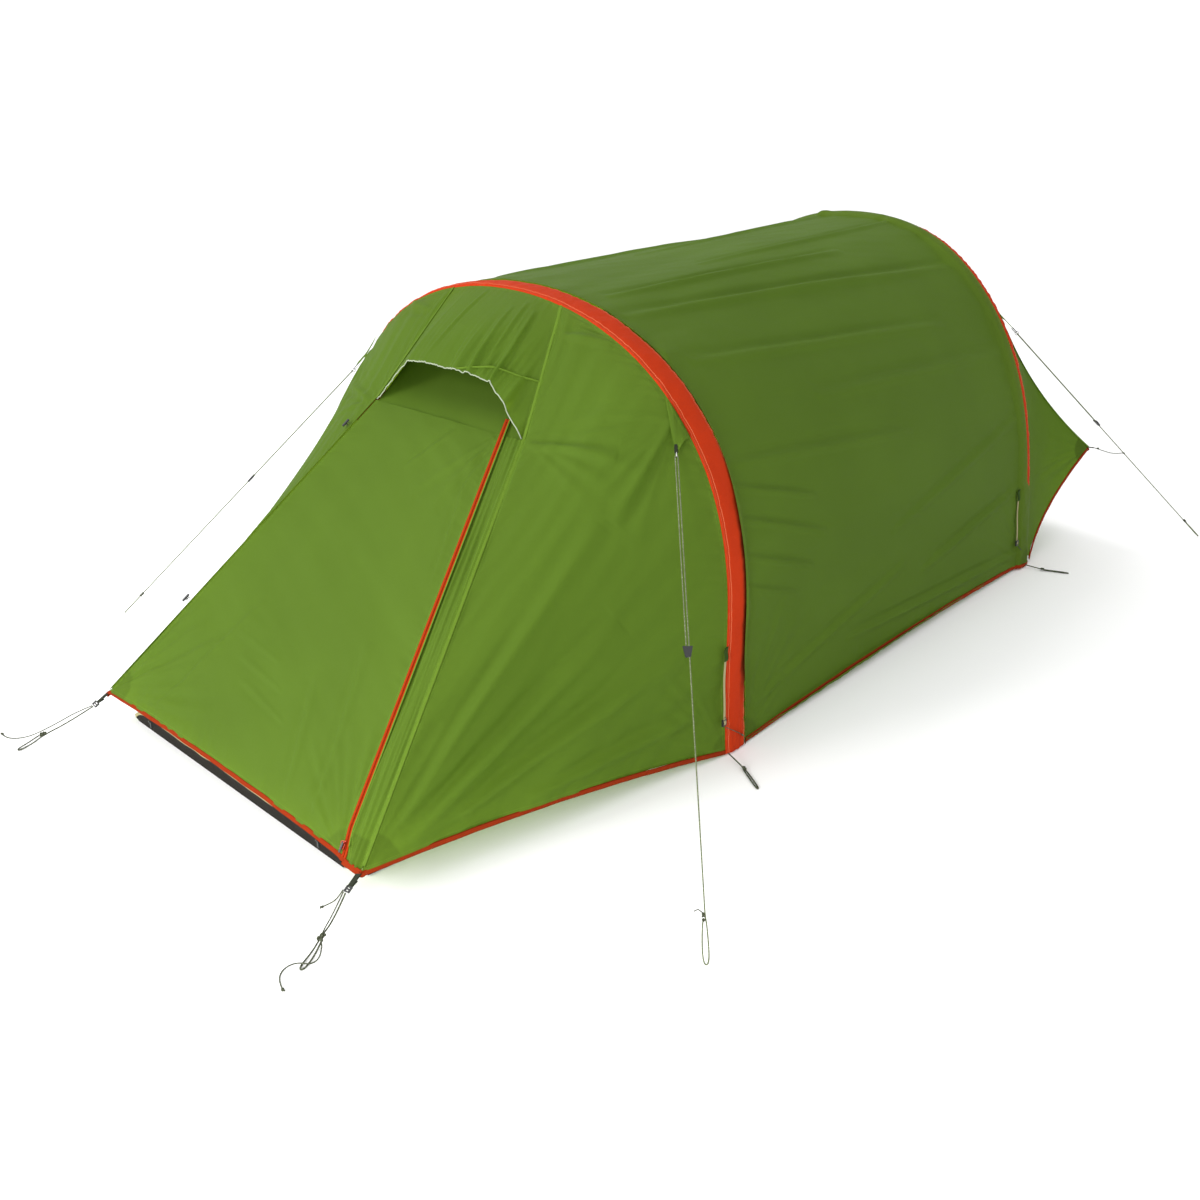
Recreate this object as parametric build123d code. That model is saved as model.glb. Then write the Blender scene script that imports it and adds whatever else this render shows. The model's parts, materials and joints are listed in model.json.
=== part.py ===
from build123d import *
from math import cos, pi, sin, tan, radians
import os

# ---------------------------------------------------------------- driving dimensions, millimetres
# +Z is up, the door faces -Y, and the origin is on the ground at the middle of the tent's footprint.
DOOR_Y = -1525                     # front hem, at the door
FRONT_ARCH_Y = DOOR_Y + 1013
REAR_ARCH_Y = DOOR_Y + 2608
REAR_CORNER_Y = DOOR_Y + 2975
REAR_END_Y = DOOR_Y + 3090

FRONT_HALF_WIDTH = 572             # at the two front corners
FRONT_LIFT = 88                    # the front hem hangs this far above the ground
REAR_CORNER_X = 760
REAR_CORNER_Z = 346
HOOD_X, HOOD_Z = 292, 787          # where the vent hood's sides meet the door's top corners
HOOD_Y = DOOR_Y + 756
HOOD_RISE = 125                    # height of the vent mouth
HOOD_ARCH_X = 205                  # half the width of the hood at the front arch

CLOTH = 2.0                        # thickness that stands for a fabric panel
SEAM = 4.0                         # gap left between the solids of two sewn panels
BEAM_D, BEAM_WALL = 58, 1.5        # inflated beam
SLEEVE_W, SLEEVE_H, SLEEVE_WALL = 76, 64, 1.5
BEAM_INSET = 25                    # from the fabric's line in to the beam's centre line
SLEEVE_FOOT, BEAM_FOOT = 5, 9      # where the arches' lines start above the ground
HEM_RISE = 20                      # how far the side hems rise between their ends
HEM_FOOT = 15                      # height of the side hems beside the beams' feet
PORCH_BULGE = 24                   # how far the porch sides belly outwards
CORD_D = 3.0

# Half of each beam's arch: (share of half width, share of height), from the foot to the crown.
FRONT_ARCH = dict(y=FRONT_ARCH_Y, half_width=755, height=1080,
                  shape=[(1, 0), (0.99, 0.20), (0.989, 0.41), (0.916, 0.641), (0.697, 0.844), (0.37, 0.964)])
REAR_ARCH = dict(y=REAR_ARCH_Y, half_width=736, height=1104,
                 shape=[(1, 0), (0.975, 0.18), (0.943, 0.365), (0.862, 0.575), (0.679, 0.79), (0.378, 0.952)])

parts = {}


def add(name, *solids):
    parts[name] = Compound(children=[s for item in solids for s in item.solids()])


# ---------------------------------------------------------------- arches
def arch_edge(arch, foot_z=0.0, grow=0.0):
    """The arch's curve from the foot at +X over the crown to the foot at -X."""
    w, h = arch["half_width"] + grow, arch["height"] + grow
    right = [(w * a, arch["y"], max(h * b, foot_z)) for a, b in arch["shape"]]
    left = [(-x, y, z) for x, y, z in reversed(right)]
    return Spline(*right, (0, arch["y"], h), *left)


def ring_section(edge, width, height):
    """An ellipse across an arch at its start, width along Y."""
    return Plane(origin=edge @ 0, x_dir=(0, 1, 0), z_dir=edge % 0) * Ellipse(width / 2, height / 2)


def beam_edge(arch, foot_z=0.0):
    """The centre line of the beam inside an arch's fabric line."""
    return arch_edge(arch, foot_z, -BEAM_INSET)


def arch_tube(arch, width, height, wall, foot_z):
    edge = beam_edge(arch, foot_z)
    outer = sweep(ring_section(edge, width, height), path=edge)
    inner = sweep(ring_section(edge, width - 2 * wall, height - 2 * wall), path=edge)
    return outer - inner


front_curve = arch_edge(FRONT_ARCH)
rear_curve = arch_edge(REAR_ARCH)


def front(u):
    return front_curve @ u


def rear(u):
    return rear_curve @ u


def share_at(curve, x):
    """The parameter between the +X foot and the crown where an arch has this half width or less."""
    low, high = 0.15, 0.5
    for _ in range(40):
        middle = (low + high) / 2
        if (curve @ middle).X > x:
            low = middle
        else:
            high = middle
    return low


HOOD_U = share_at(front_curve, HOOD_ARCH_X)
RIDGE_U = 0.27                      # where the ridge to the raised rear corner leaves the rear arch


# ---------------------------------------------------------------- fabric
def lerp(a, b, t):
    return a + (b - a) * t


def bow(t):
    return 4 * t * (1 - t)


def surface(point, nu, nv):
    """A smooth face through point(u, v), for u and v from 0 to 1."""
    grid = [[point(i / nu, j / nv) for j in range(nv + 1)] for i in range(nu + 1)]
    return Face.make_surface_from_array_of_points(grid, tol=0.5)


def membrane(point, nu, nv, inward):
    """A thin closed solid under a surface, as deep as a fabric panel along the inward direction."""
    return Solid.extrude(surface(point, nu, nv), Vector(inward).normalized() * CLOTH)


def flat_panel(corners, inward):
    face = Face(Wire.make_polygon(corners, close=True))
    return Solid.extrude(face, Vector(inward).normalized() * CLOTH)


def mirrored(solid):
    return mirror(solid, about=Plane.YZ)


# Main canopy, between the two sleeves.
GAP = SLEEVE_W / 2 + SEAM


def canopy_point(u, v):
    a, b = front(u), rear(u)
    y = a.Y + GAP + (b.Y - a.Y - 2 * GAP) * v
    p = lerp(a, b, (y - a.Y) / (b.Y - a.Y))
    rise = HEM_RISE * bow(v) * cos(pi * u) ** 6
    return Vector(p.X, y, max(p.Z, HEM_FOOT * (1 - sin(pi * u) ** 0.25)) + rise)


add("fly_main_canopy", Solid.thicken(surface(canopy_point, 28, 8), CLOTH, normal_override=(0, 0, -1)))


# Seam from a front corner to the hood and on to the front arch.
CORNER = Vector(FRONT_HALF_WIDTH, DOOR_Y, FRONT_LIFT)
APEX = Vector(HOOD_X, HOOD_Y, HOOD_Z)
ARCH_END = Vector(HOOD_ARCH_X + 12, FRONT_ARCH_Y - GAP - 20, 1015)
SEAM_SHARE = 0.72                  # share of the seam's parameter that lies below the hood


def seam_point(u):
    if u < SEAM_SHARE:
        return lerp(CORNER, APEX, u / SEAM_SHARE)
    return lerp(APEX, ARCH_END, (u - SEAM_SHARE) / (1 - SEAM_SHARE))


def porch_side_point(u, v):
    s = seam_point(u)
    a = front(0.004 + (HOOD_U - 0.010) * u)
    a = Vector(a.X, FRONT_ARCH_Y - GAP, max(a.Z, HEM_FOOT))
    start = lerp(s, a, SEAM / (a - s).length)
    p = lerp(start, a, v)
    bulge = PORCH_BULGE * bow(v) * bow(min(1, 0.15 + 0.85 * u))
    rise = HEM_RISE * bow(v) * (1 - u) ** 2
    return Vector(p.X + 0.6 * bulge, p.Y - 0.35 * bulge, p.Z + 0.6 * bulge + rise)


porch_side = membrane(porch_side_point, 14, 6, (-1, 0.2, -0.5))
add("fly_porch_side_near", porch_side)
add("fly_porch_side_far", mirrored(porch_side))


# Door plane: from the front hem up to the hood.
UP = (APEX - Vector(HOOD_X, DOOR_Y, FRONT_LIFT)).normalized()
DOOR_IN = Vector(0, UP.Z, -UP.Y)    # normal of the door plane, pointing into the tent
SIDE = (APEX - CORNER).normalized()
DOOR_LENGTH = (HOOD_Z - FRONT_LIFT) / SIDE.Z
STRIP_W = 68                        # strip between the zip and the near seam
ZIP_W = 16
HEM_GAP = 3


def on_door(side, along, across):
    """A point of the door plane: along a side seam from the hem, and across from it towards the other."""
    sign = 1 if side == "near" else -1
    base = Vector(sign * CORNER.X, CORNER.Y, CORNER.Z)
    line = Vector(sign * SIDE.X, SIDE.Y, SIDE.Z)
    return base + line * along + Vector(-sign * across, 0, 0)


def door_strip(side, low, high, inner, outer, top=DOOR_LENGTH):
    corners = [on_door(side, low, outer), on_door(side, low, inner), on_door(side, top, inner),
               on_door(side, top, outer)]
    return flat_panel(corners, DOOR_IN)


zip_in = STRIP_W + ZIP_W
add("door_jamb_strip", door_strip("near", HEM_GAP, 0, SEAM, STRIP_W - SEAM / 2, DOOR_LENGTH - 6))
add("door_zip_fixed_tape", door_strip("near", HEM_GAP, 0, STRIP_W, STRIP_W + ZIP_W / 2 - 0.3, DOOR_LENGTH - 6))
add("door_zip_door_tape", door_strip("near", HEM_GAP, 0, STRIP_W + ZIP_W / 2 + 0.3, zip_in, DOOR_LENGTH - 6))
door = flat_panel([on_door("near", HEM_GAP, zip_in + 1), on_door("near", DOOR_LENGTH - 8, zip_in + 1),
                   on_door("far", DOOR_LENGTH - 8, SEAM + 4), on_door("far", HEM_GAP, SEAM + 4)], DOOR_IN)
add("door_panel", door)


# Vent hood over the door's top, and the cloth baffle behind it.
def hood_point(u, v):
    c = 1 - 2 * u
    a = front(HOOD_U + (1 - 2 * HOOD_U) * u)
    a = Vector(a.X, FRONT_ARCH_Y - GAP, a.Z - 2)
    lip = Vector((HOOD_X - 6) * c, HOOD_Y + 2, HOOD_Z + 8 + HOOD_RISE * (1 - abs(c) ** 4))
    return lerp(a, lip, v)


add("vent_hood", membrane(hood_point, 16, 4, (0, 0.3, -1)))
baffle_low = Vector(HOOD_X - 62, HOOD_Y + 16, HOOD_Z + 2)
baffle_high = Vector(150, FRONT_ARCH_Y - GAP - 6, 990)
add("vent_baffle", flat_panel([baffle_low, baffle_high, Vector(-baffle_high.X, baffle_high.Y, baffle_high.Z),
                               Vector(-baffle_low.X, baffle_low.Y, baffle_low.Z)], (0, 1, -1)))


# Rear end: two raised corners, and a hem that dips to the ground between them.
REAR_CORNER = Vector(REAR_CORNER_X, REAR_CORNER_Y, REAR_CORNER_Z)
REAR_START = REAR_ARCH_Y + GAP


def rear_arch_point(u):
    a = rear(u)
    return Vector(a.X, REAR_START, a.Z)


def rear_side_hem(u):
    foot = Vector(738, REAR_START + 12, 14)
    p = lerp(foot, REAR_CORNER, u)
    return Vector(p.X - 30 * bow(u), p.Y - 8 * bow(u), p.Z - 14 * bow(u))


RIDGE_SAG = Vector(-14, -16, -14)
END_SAG = Vector(0, -30, -26)


def rear_side_point(u, v):
    a = rear_arch_point(0.012 + (RIDGE_U - 0.016) * u)
    h = rear_side_hem(0.04 + 0.94 * u)
    return lerp(a, h, v) + RIDGE_SAG * bow(v) * u


rear_side = membrane(rear_side_point, 8, 6, (-1, -0.2, -0.2))
add("fly_rear_side_near", rear_side)
add("fly_rear_side_far", mirrored(rear_side))


def rear_hem_point(u):
    c = 1 - 2 * u
    k = abs(c) ** 2.2
    y = lerp(REAR_END_Y, REAR_CORNER_Y, k)
    return Vector((REAR_CORNER_X - 6) * c, y, lerp(34, REAR_CORNER_Z, k))


def rear_end_point(u, v):
    a = rear_arch_point(RIDGE_U + 0.004 + (1 - 2 * RIDGE_U - 0.008) * u)
    side = 1 - 2 * u
    ridge = Vector(RIDGE_SAG.X * side, RIDGE_SAG.Y, RIDGE_SAG.Z)
    return lerp(a, rear_hem_point(u), v) + lerp(END_SAG, ridge, abs(side) ** 2) * bow(v)


add("fly_rear_end", membrane(rear_end_point, 18, 8, (0, -1, -0.15)))


# ---------------------------------------------------------------- hem bindings
BINDING_H = 12
BINDING_T = 2.4
BINDING_GAP = 1.6


def binding(edge_point, count, away, inward):
    """A tape just beyond a panel's edge, running away from the panel."""
    out = Vector(away).normalized()
    face = surface(lambda u, v: edge_point(u) + out * (BINDING_GAP + BINDING_H * v), count, 2)
    return Solid.extrude(face, Vector(inward).normalized() * BINDING_T)


jamb_hem = flat_panel([on_door("near", -8, SEAM), on_door("near", 2, SEAM), on_door("near", 2, STRIP_W),
                       on_door("near", -8, STRIP_W)], DOOR_IN)
side_hems = [binding(lambda v: porch_side_point(0, v), 6, (0, 0, -1), (-1, 0, 0)),
             binding(lambda v: canopy_point(0, v), 8, (0, 0, -1), (-1, 0, 0)),
             binding(lambda u: rear_side_point(u, 1), 8, (0, 0.7, -0.7), (-1, 0, 0))]
add("hem_binding_near", *side_hems, jamb_hem)
add("hem_binding_far", *[mirrored(hem) for hem in side_hems])
add("hem_binding_rear", binding(lambda u: rear_end_point(u, 1), 18, (0, 0.2, -1), (0, -1, -0.2)))
add("hem_binding_door", flat_panel([on_door("near", -8, zip_in + 1), on_door("near", 2, zip_in + 1),
                                    on_door("far", 2, SEAM + 4), on_door("far", -8, SEAM + 4)], DOOR_IN))


# ---------------------------------------------------------------- beams and their valves
VALVE_Z = 150
STEM_R, STEM_L = 9, 16
CAP_R, CAP_L = 11, 10
FAR_FOOT_IN = Vector(1, 0, 0)       # from the far foot towards the tent's middle


def point_at_height(curve, z):
    """The point of an arch at this height, on its +X side."""
    low, high = 0.0, 0.5
    for _ in range(40):
        middle = (low + high) / 2
        if (curve @ middle).Z < z:
            low = middle
        else:
            high = middle
    return curve @ low


def beam_set(which, arch):
    sleeve = arch_tube(arch, SLEEVE_W, SLEEVE_H, SLEEVE_WALL, SLEEVE_FOOT)
    bladder = arch_tube(arch, BEAM_D, BEAM_D, BEAM_WALL, BEAM_FOOT)
    foot = point_at_height(beam_edge(arch), VALVE_Z)
    seat = Vector(-foot.X + BEAM_D / 2 + 1.2, foot.Y, VALVE_Z)
    stem_plane = Plane(origin=seat, z_dir=FAR_FOOT_IN)
    hole = extrude(stem_plane.offset(-4) * Circle(STEM_R + 3), amount=12)
    stem = extrude(stem_plane * Circle(STEM_R), amount=STEM_L)
    cap = extrude(stem_plane.offset(STEM_L + 0.4) * Circle(CAP_R), amount=CAP_L)
    rib = Location(Vector(seat.X + STEM_L + 0.4 + CAP_L / 2 + 4, seat.Y, seat.Z)) * Box(CAP_L, 4, 2 * CAP_R - 4)
    add(f"beam_sleeve_{which}", sleeve - hole)
    add(f"air_beam_{which}", bladder)
    add(f"inflation_valve_{which}", stem)
    add(f"valve_cap_{which}", cap + rib)


beam_set("front", FRONT_ARCH)
beam_set("rear", REAR_ARCH)


# ---------------------------------------------------------------- zip slider and its puller
SLIDER_ALONG = 26
DOOR_OUT = DOOR_IN * -1
slider_at = on_door("near", SLIDER_ALONG, STRIP_W + ZIP_W / 2)
zip_plane = Plane(origin=slider_at, x_dir=SIDE, z_dir=DOOR_OUT)
PIN_X, PIN_Z, PIN_R = 5, 7.6, 0.9
slider = Location((0, 0, 3)) * Box(18, 12, 5)
slider += [Location((PIN_X, y, 7.2)) * Box(4, 2, 3.6) for y in (-4, 4)]
slider += Location((PIN_X, 0, PIN_Z)) * Rotation(90, 0, 0) * Cylinder(PIN_R, 8)
PULL_L = 24
puller = Location((PIN_X - PULL_L / 2 + 1.5, 0, PIN_Z)) * Box(PULL_L, 5, 1.6)
puller -= Location((PIN_X, 0, PIN_Z)) * Rotation(90, 0, 0) * Cylinder(PIN_R + 0.25, 8)
puller += Location((PIN_X, 0, PIN_Z)) * Rotation(90, 0, 0) * (Cylinder(1.7, 5) - Cylinder(PIN_R + 0.25, 5))
add("zip_slider", zip_plane * slider)
add("zip_puller", zip_plane * puller)


# Toggles that hold the rolled door back, beside the far seam.
def tie_toggle(along):
    at = Plane(origin=on_door("far", along, -16), x_dir=(-SIDE.X, SIDE.Y, SIDE.Z), z_dir=DOOR_OUT)
    bar = Location((0, 0, 9)) * Rotation(0, 90, 0) * Cylinder(3.2, 24)
    return at * (bar + Location((0, 0, 5)) * Box(3, 3, 6))


add("door_tie_toggles", tie_toggle(330), tie_toggle(965))


# ---------------------------------------------------------------- inner tent and groundsheets
INNER_FRONT_Y, INNER_REAR_Y, INNER_END_Y = DOOR_Y + 1086, DOOR_Y + 2596, DOOR_Y + 2930
TUB_H, TUB_WALL, TUB_FLOOR = 100, 2.5, 3
TUB_HALF, TUB_END_HALF = 620, 500
NET = 1.6
inner_front = arch_edge(dict(FRONT_ARCH, y=INNER_FRONT_Y, half_width=612, height=958))
inner_rear = arch_edge(dict(REAR_ARCH, y=INNER_REAR_Y, half_width=612, height=958))
INNER_U = 0.036                     # where the inner arches reach the top of the tub's wall


def inner_canopy_point(u, v):
    k = INNER_U + (1 - 2 * INNER_U) * u
    p = lerp(inner_front @ k, inner_rear @ k, 0.004 + 0.992 * v)
    return Vector(p.X, p.Y, max(p.Z - 14 * bow(v), TUB_H + 2))


add("inner_canopy", Solid.thicken(surface(inner_canopy_point, 24, 6), NET, normal_override=(0, 0, -1)))


FOOT_START, FOOT_STOP = INNER_REAR_Y + 14, INNER_END_Y - 6


def foot_end_point(u, v):
    k = INNER_U + (1 - 2 * INNER_U) * u
    a = inner_rear @ k
    a = Vector(a.X, INNER_REAR_Y + 3, max(a.Z, TUB_H + 2))
    c, s = cos(pi * u), sin(pi * u)
    hem_x = (TUB_HALF - 20) * (1 - 0.19 * s) * c / max(abs(c), s) ** 0.6
    hem = Vector(hem_x, FOOT_START + (FOOT_STOP - FOOT_START) * s ** 0.8, TUB_H + 2)
    return lerp(a, hem, v)


add("inner_foot_end", Solid.extrude(surface(foot_end_point, 20, 6), Vector(0, -NET, -0.5 * NET)))

DOORWAY_W, DOORWAY_H, DOORWAY_Z, DOORWAY_R = 760, 640, 450, 130
INNER_DOOR_GAP = 4
wall_plane = Plane(origin=(0, INNER_FRONT_Y - NET - 1, 0), x_dir=(1, 0, 0), z_dir=(0, -1, 0))
edge_points = [inner_front @ (INNER_U + 0.002 + (1 - 2 * INNER_U - 0.004) * i / 16) for i in range(17)]
outline = [Vector(p.X, max(p.Z - 3, TUB_H + 2)) for p in edge_points]
wall_edge = Spline(*outline)
wall_face = make_face([wall_edge, Line(wall_edge @ 1, wall_edge @ 0)])
doorway = Location((0, DOORWAY_Z)) * RectangleRounded(DOORWAY_W, DOORWAY_H, DOORWAY_R)
door_leaf = Location((0, DOORWAY_Z)) * RectangleRounded(DOORWAY_W - 2 * INNER_DOOR_GAP,
                                                        DOORWAY_H - 2 * INNER_DOOR_GAP, DOORWAY_R)
add("inner_front_wall", extrude(wall_plane * (wall_face - doorway), amount=-NET))
add("inner_door", extrude(wall_plane * door_leaf, amount=-NET))

tub_outline = [(TUB_HALF, INNER_FRONT_Y - 2), (TUB_HALF, INNER_REAR_Y), (TUB_END_HALF, INNER_END_Y),
               (-TUB_END_HALF, INNER_END_Y), (-TUB_HALF, INNER_REAR_Y), (-TUB_HALF, INNER_FRONT_Y - 2)]
tub_face = Face(Wire.make_polygon([(x, y, 0) for x, y in tub_outline], close=True))
tub = extrude(tub_face, amount=TUB_H)
tub -= Location((0, 0, TUB_FLOOR)) * extrude(offset(tub_face, amount=-TUB_WALL), amount=TUB_H)
add("groundsheet_tub", tub)

toggles = []
for y in (INNER_FRONT_Y + 170, INNER_REAR_Y - 150):
    for lean in (-40, 0, 40):
        k = 0.5 + lean / 200
        base = inner_front @ k
        out = Vector(sin(radians(lean)) * -1, 0, cos(radians(lean)))
        at = Vector(base.X, y, base.Z) + out * 14
        toggles.append(Plane(origin=at, z_dir=out) * Location((0, 0, 12)) * Cylinder(3.5, 24))
add("inner_hanging_toggles", *toggles)

LIP_H, LIP_LEAN = 54, 14
LIP_NEAR_X, LIP_FAR_X = 430, -520
PORCH_FRONT_Y, PORCH_BACK_Y = DOOR_Y + 46, INNER_FRONT_Y - 12
PORCH_HALF, PORCH_T = 600, 2
PORCH_NEAR = (492, PORCH_FRONT_Y + 20)
porch_outline = [(LIP_FAR_X, PORCH_FRONT_Y), (LIP_NEAR_X, PORCH_FRONT_Y), PORCH_NEAR,
                 (PORCH_HALF, PORCH_BACK_Y), (-PORCH_HALF, PORCH_BACK_Y)]
porch_face = Face(Wire.make_polygon([(x, y, 0) for x, y in porch_outline], close=True))
porch_floor = extrude(porch_face, amount=PORCH_T)


def lip_strip(low, high):
    def lip(x, z):
        return Vector(x, PORCH_FRONT_Y - LIP_LEAN * z / LIP_H, z)
    corners = [lip(LIP_NEAR_X, low), lip(LIP_NEAR_X, high), lip(LIP_FAR_X, high), lip(LIP_FAR_X, low)]
    return flat_panel(corners, (0, 1, 0))


add("porch_groundsheet", porch_floor + lip_strip(0, LIP_H))
add("lip_webbing", lip_strip(LIP_H + 0.5, LIP_H + 9))
lip_hook = Box(6, 4, 22) + Location((0, -2.5, 9)) * Box(6, 5, 4)
add("lip_hooks", *[Location((x, PORCH_FRONT_Y - LIP_LEAN - 4, LIP_H - 8)) * lip_hook for x in (366, -400)])


# ---------------------------------------------------------------- guying: gussets, rings, runners
RING_R, RING_WIRE = 6, 1.2
GUY = {"front": dict(ring=Vector(630, DOOR_Y + 918, 780), peg=Vector(1210, DOOR_Y + 345, 3.5),
                     curve=front_curve, face=-GAP - 5, heights=(892, 806)),
       "rear": dict(ring=Vector(592, DOOR_Y + 2664, 770), peg=Vector(1080, DOOR_Y + 3290, 3.5),
                    curve=rear_curve, face=GAP + 5, heights=(925, 822))}
STRAND = 3.1                        # half the distance between a doubled cord's strands
RUNNER_SHARE = {"front": 0.4255, "rear": 0.4175}
KNOT_SHARE = 0.915
RUNNER_L, RUNNER_TOP_W, RUNNER_TIP_W, RUNNER_T = 24, 22, 12, 6


def guy_frame(which):
    """Ring centre, unit vector to the peg, and the level vector across the guy."""
    ring, peg = GUY[which]["ring"], GUY[which]["peg"]
    d = (peg - ring).normalized()
    return ring, d, d.cross(Vector(0, 0, 1)).normalized(), (peg - ring).length


def gusset(which):
    g = GUY[which]
    ring, d, _, _ = guy_frame(which)
    corners = []
    for z in g["heights"]:
        p = point_at_height(g["curve"], z)
        out = Vector(p.X, 0, p.Z - 400).normalized()
        corners.append(Vector(p.X, p.Y + g["face"], p.Z) + out * 14)
    tip = ring - d * (RING_R + RING_WIRE + 1.5)
    normal = (corners[1] - corners[0]).cross(tip - corners[0])
    if normal.X < 0:
        normal = normal * -1
    return flat_panel([corners[0], corners[1], tip], normal)


def guy_ring(which):
    ring, d, s, _ = guy_frame(which)
    return Plane(origin=ring, x_dir=d, z_dir=s) * Torus(RING_R, RING_WIRE)


def runner(which):
    ring, d, s, length = guy_frame(which)
    at = Plane(origin=ring + d * length * RUNNER_SHARE[which], x_dir=s, z_dir=d)
    top, tip, half = RUNNER_TOP_W / 2, RUNNER_TIP_W / 2, RUNNER_L / 2
    outline = Polyline((-top, -half), (top, -half), (tip, half), (-tip, half), close=True)
    plate = extrude(make_face(Plane.XZ * outline), RUNNER_T / 2, both=True)
    body = at * plate
    for b in (-STRAND, STRAND):
        body -= at * Location((b, 0, 0)) * Cylinder(CORD_D / 2 + 0.4, RUNNER_L + 2)
    return body


for which in ("front", "rear"):
    add(f"guy_gussets_{which}", gusset(which), mirrored(gusset(which)))
add("guy_rings", *[g for which in ("front", "rear") for g in (guy_ring(which), mirrored(guy_ring(which)))])
add("guy_runner_front_near", runner("front"))
add("guy_runner_front_far", mirrored(runner("front")))
add("guy_runner_rear_near", runner("rear"))


# ---------------------------------------------------------------- foot straps and corner tabs
STRAP_W, STRAP_T = 12, 1.5
BUCKLE = (5, 14, 18)


def foot_strap(curve, top_z):
    low, high = point_at_height(curve, 116), point_at_height(curve, top_z)
    face = surface(lambda u, v: lerp(low, high, u) + Vector(8, -GAP - 4 - STRAP_W * v, 0), 4, 2)
    return Solid.extrude(face, Vector(STRAP_T, 0, 0))


def foot_buckle(curve):
    p = point_at_height(curve, 104)
    frame = Box(*BUCKLE) - Location((0, 0, 4)) * Box(6, 9, 3) - Location((0, 0, -4)) * Box(6, 9, 3)
    return Location((p.X + 10.5, p.Y - GAP - 4 - STRAP_W / 2, p.Z)) * frame


straps = [foot_strap(front_curve, 310), foot_strap(rear_curve, 285)]
buckles = [foot_buckle(front_curve), foot_buckle(rear_curve)]
add("foot_straps", *straps, *[mirrored(s) for s in straps])
add("foot_buckles", *buckles, *[mirrored(b) for b in buckles])

TAB_L, TAB_W = 22, 14
TAB_OUT = Vector(0.12, -0.85, -0.5).normalized()
tab_start = CORNER + TAB_OUT * 12 + Vector(-4, 0, 0)
REAR_TAB_OUT = Vector(0.9, 0.42, -0.05).normalized()


def tab(start, out, width, length):
    across = out.cross(Vector(0, 0, 1)).normalized() * (width / 2)
    corners = [start - across, start + across, start + across + out * length, start - across + out * length]
    return flat_panel(corners, (0, 0, -1))


front_tab = tab(tab_start, TAB_OUT, TAB_W, TAB_L)
rear_tab = tab(REAR_CORNER + REAR_TAB_OUT * 5, REAR_TAB_OUT, 9, 14)
add("corner_tabs", front_tab, mirrored(front_tab), rear_tab, mirrored(rear_tab))
lock_at = Plane(origin=tab_start + TAB_OUT * (TAB_L + 8), x_dir=TAB_OUT,
                z_dir=TAB_OUT.cross(Vector(0, 1, 0)).cross(TAB_OUT))
lock = lock_at * (Box(14, 18, 4) - Location((-3, 0, 0)) * Box(3, 12, 6) - Location((3, 0, 0)) * Box(3, 12, 6))
add("corner_ladder_locks", lock, mirrored(lock))


# ---------------------------------------------------------------- cords
RUN_SHARE = 0.45                    # share of a straight run that each of its two arcs may take
WIDEST_ARC = 4000


def cord(name, points, diameter=CORD_D):
    """Straight runs joined by arcs as large as the runs allow."""
    radii = []
    for a, b, c in zip(points, points[1:], points[2:]):
        turn = (b - a).get_angle(c - b)
        arc = RUN_SHARE * min((b - a).length, (c - b).length) / tan(radians(turn / 2))
        radii.append(min(arc, WIDEST_ARC))
    path = FilletPolyline(*points, radius=radii)
    add(name, sweep(Plane(origin=path @ 0, z_dir=path % 0) * Circle(diameter / 2), path=path))


def guy_points(which):
    """From the runner up round the ring, down to the knot, and round the peg loop."""
    ring, d, s, length = guy_frame(which)
    knot = KNOT_SHARE * length
    stations = [(RUNNER_SHARE[which] * length, STRAND), (0.4, STRAND), (0.4, -STRAND), (knot, -STRAND),
                (knot + 24, -6), (length - 2, -7), (length - 2, 7), (knot + 26, 5), (knot + 6, 0.5)]
    return [ring + d * a + s * b for a, b in stations]


def mirrored_points(points):
    return [Vector(-p.X, p.Y, p.Z) for p in points]


cord("guy_line_front_near", guy_points("front"))
cord("guy_line_front_far", mirrored_points(guy_points("front")))
cord("guy_line_rear_near", guy_points("rear"))

CORNER_CORD_D = 2.6

# Slack cord from the raised rear corner to the guy beside it.
ring, d, s, length = guy_frame("rear")
junction = ring + d * length * 0.5675 - s * STRAND
corner_exit = REAR_CORNER + REAR_TAB_OUT * 20
cord("corner_cord_rear_near", [corner_exit, lerp(corner_exit, junction, 0.3) + Vector(0, 0, -5),
                               lerp(corner_exit, junction, 0.66) + Vector(2, -1, -9),
                               lerp(corner_exit, junction, 0.965)], CORNER_CORD_D)

# Cords that the four pegs would hold, lying on the ground.
PEG_CORD_D = 3.6
TAIL_D = 2.8
GROUND = 2.2


def at_door(x, y, z):
    return Vector(x, DOOR_Y + y, z)


lock_end = tab_start + TAB_OUT * (TAB_L + 8 + 8.9)
cord("peg_cord_front_near", [lock_end, at_door(586, -84, 26), at_door(597, -127, 11), at_door(612, -156, 4),
                             at_door(632, -203, GROUND), at_door(644, -198, GROUND),
                             at_door(624, -156, 4.5), at_door(606, -130, 11)], PEG_CORD_D)
cord("peg_tail_front_near", [lock_end + Vector(-7, 0, 0), at_door(576, -82, 28), at_door(588, -109, 20),
                             at_door(603, -129, 17.5), at_door(624, -141, 11), at_door(641, -160, 4.5),
                             at_door(645, -181, 6.6), at_door(621, -196, 6.6), at_door(610, -214, 2.4),
                             at_door(617, -235, 1.5), at_door(640, -250, 1.5), at_door(662, -256, 1.5)], TAIL_D)
cord("peg_stub_front_near", [lock_end + Vector(-12, 2, 0), at_door(545, -46, 34), at_door(529, -56, 18),
                             at_door(514, -68, 8)], TAIL_D)
far_end = Vector(-lock_end.X, lock_end.Y, lock_end.Z)
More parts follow.
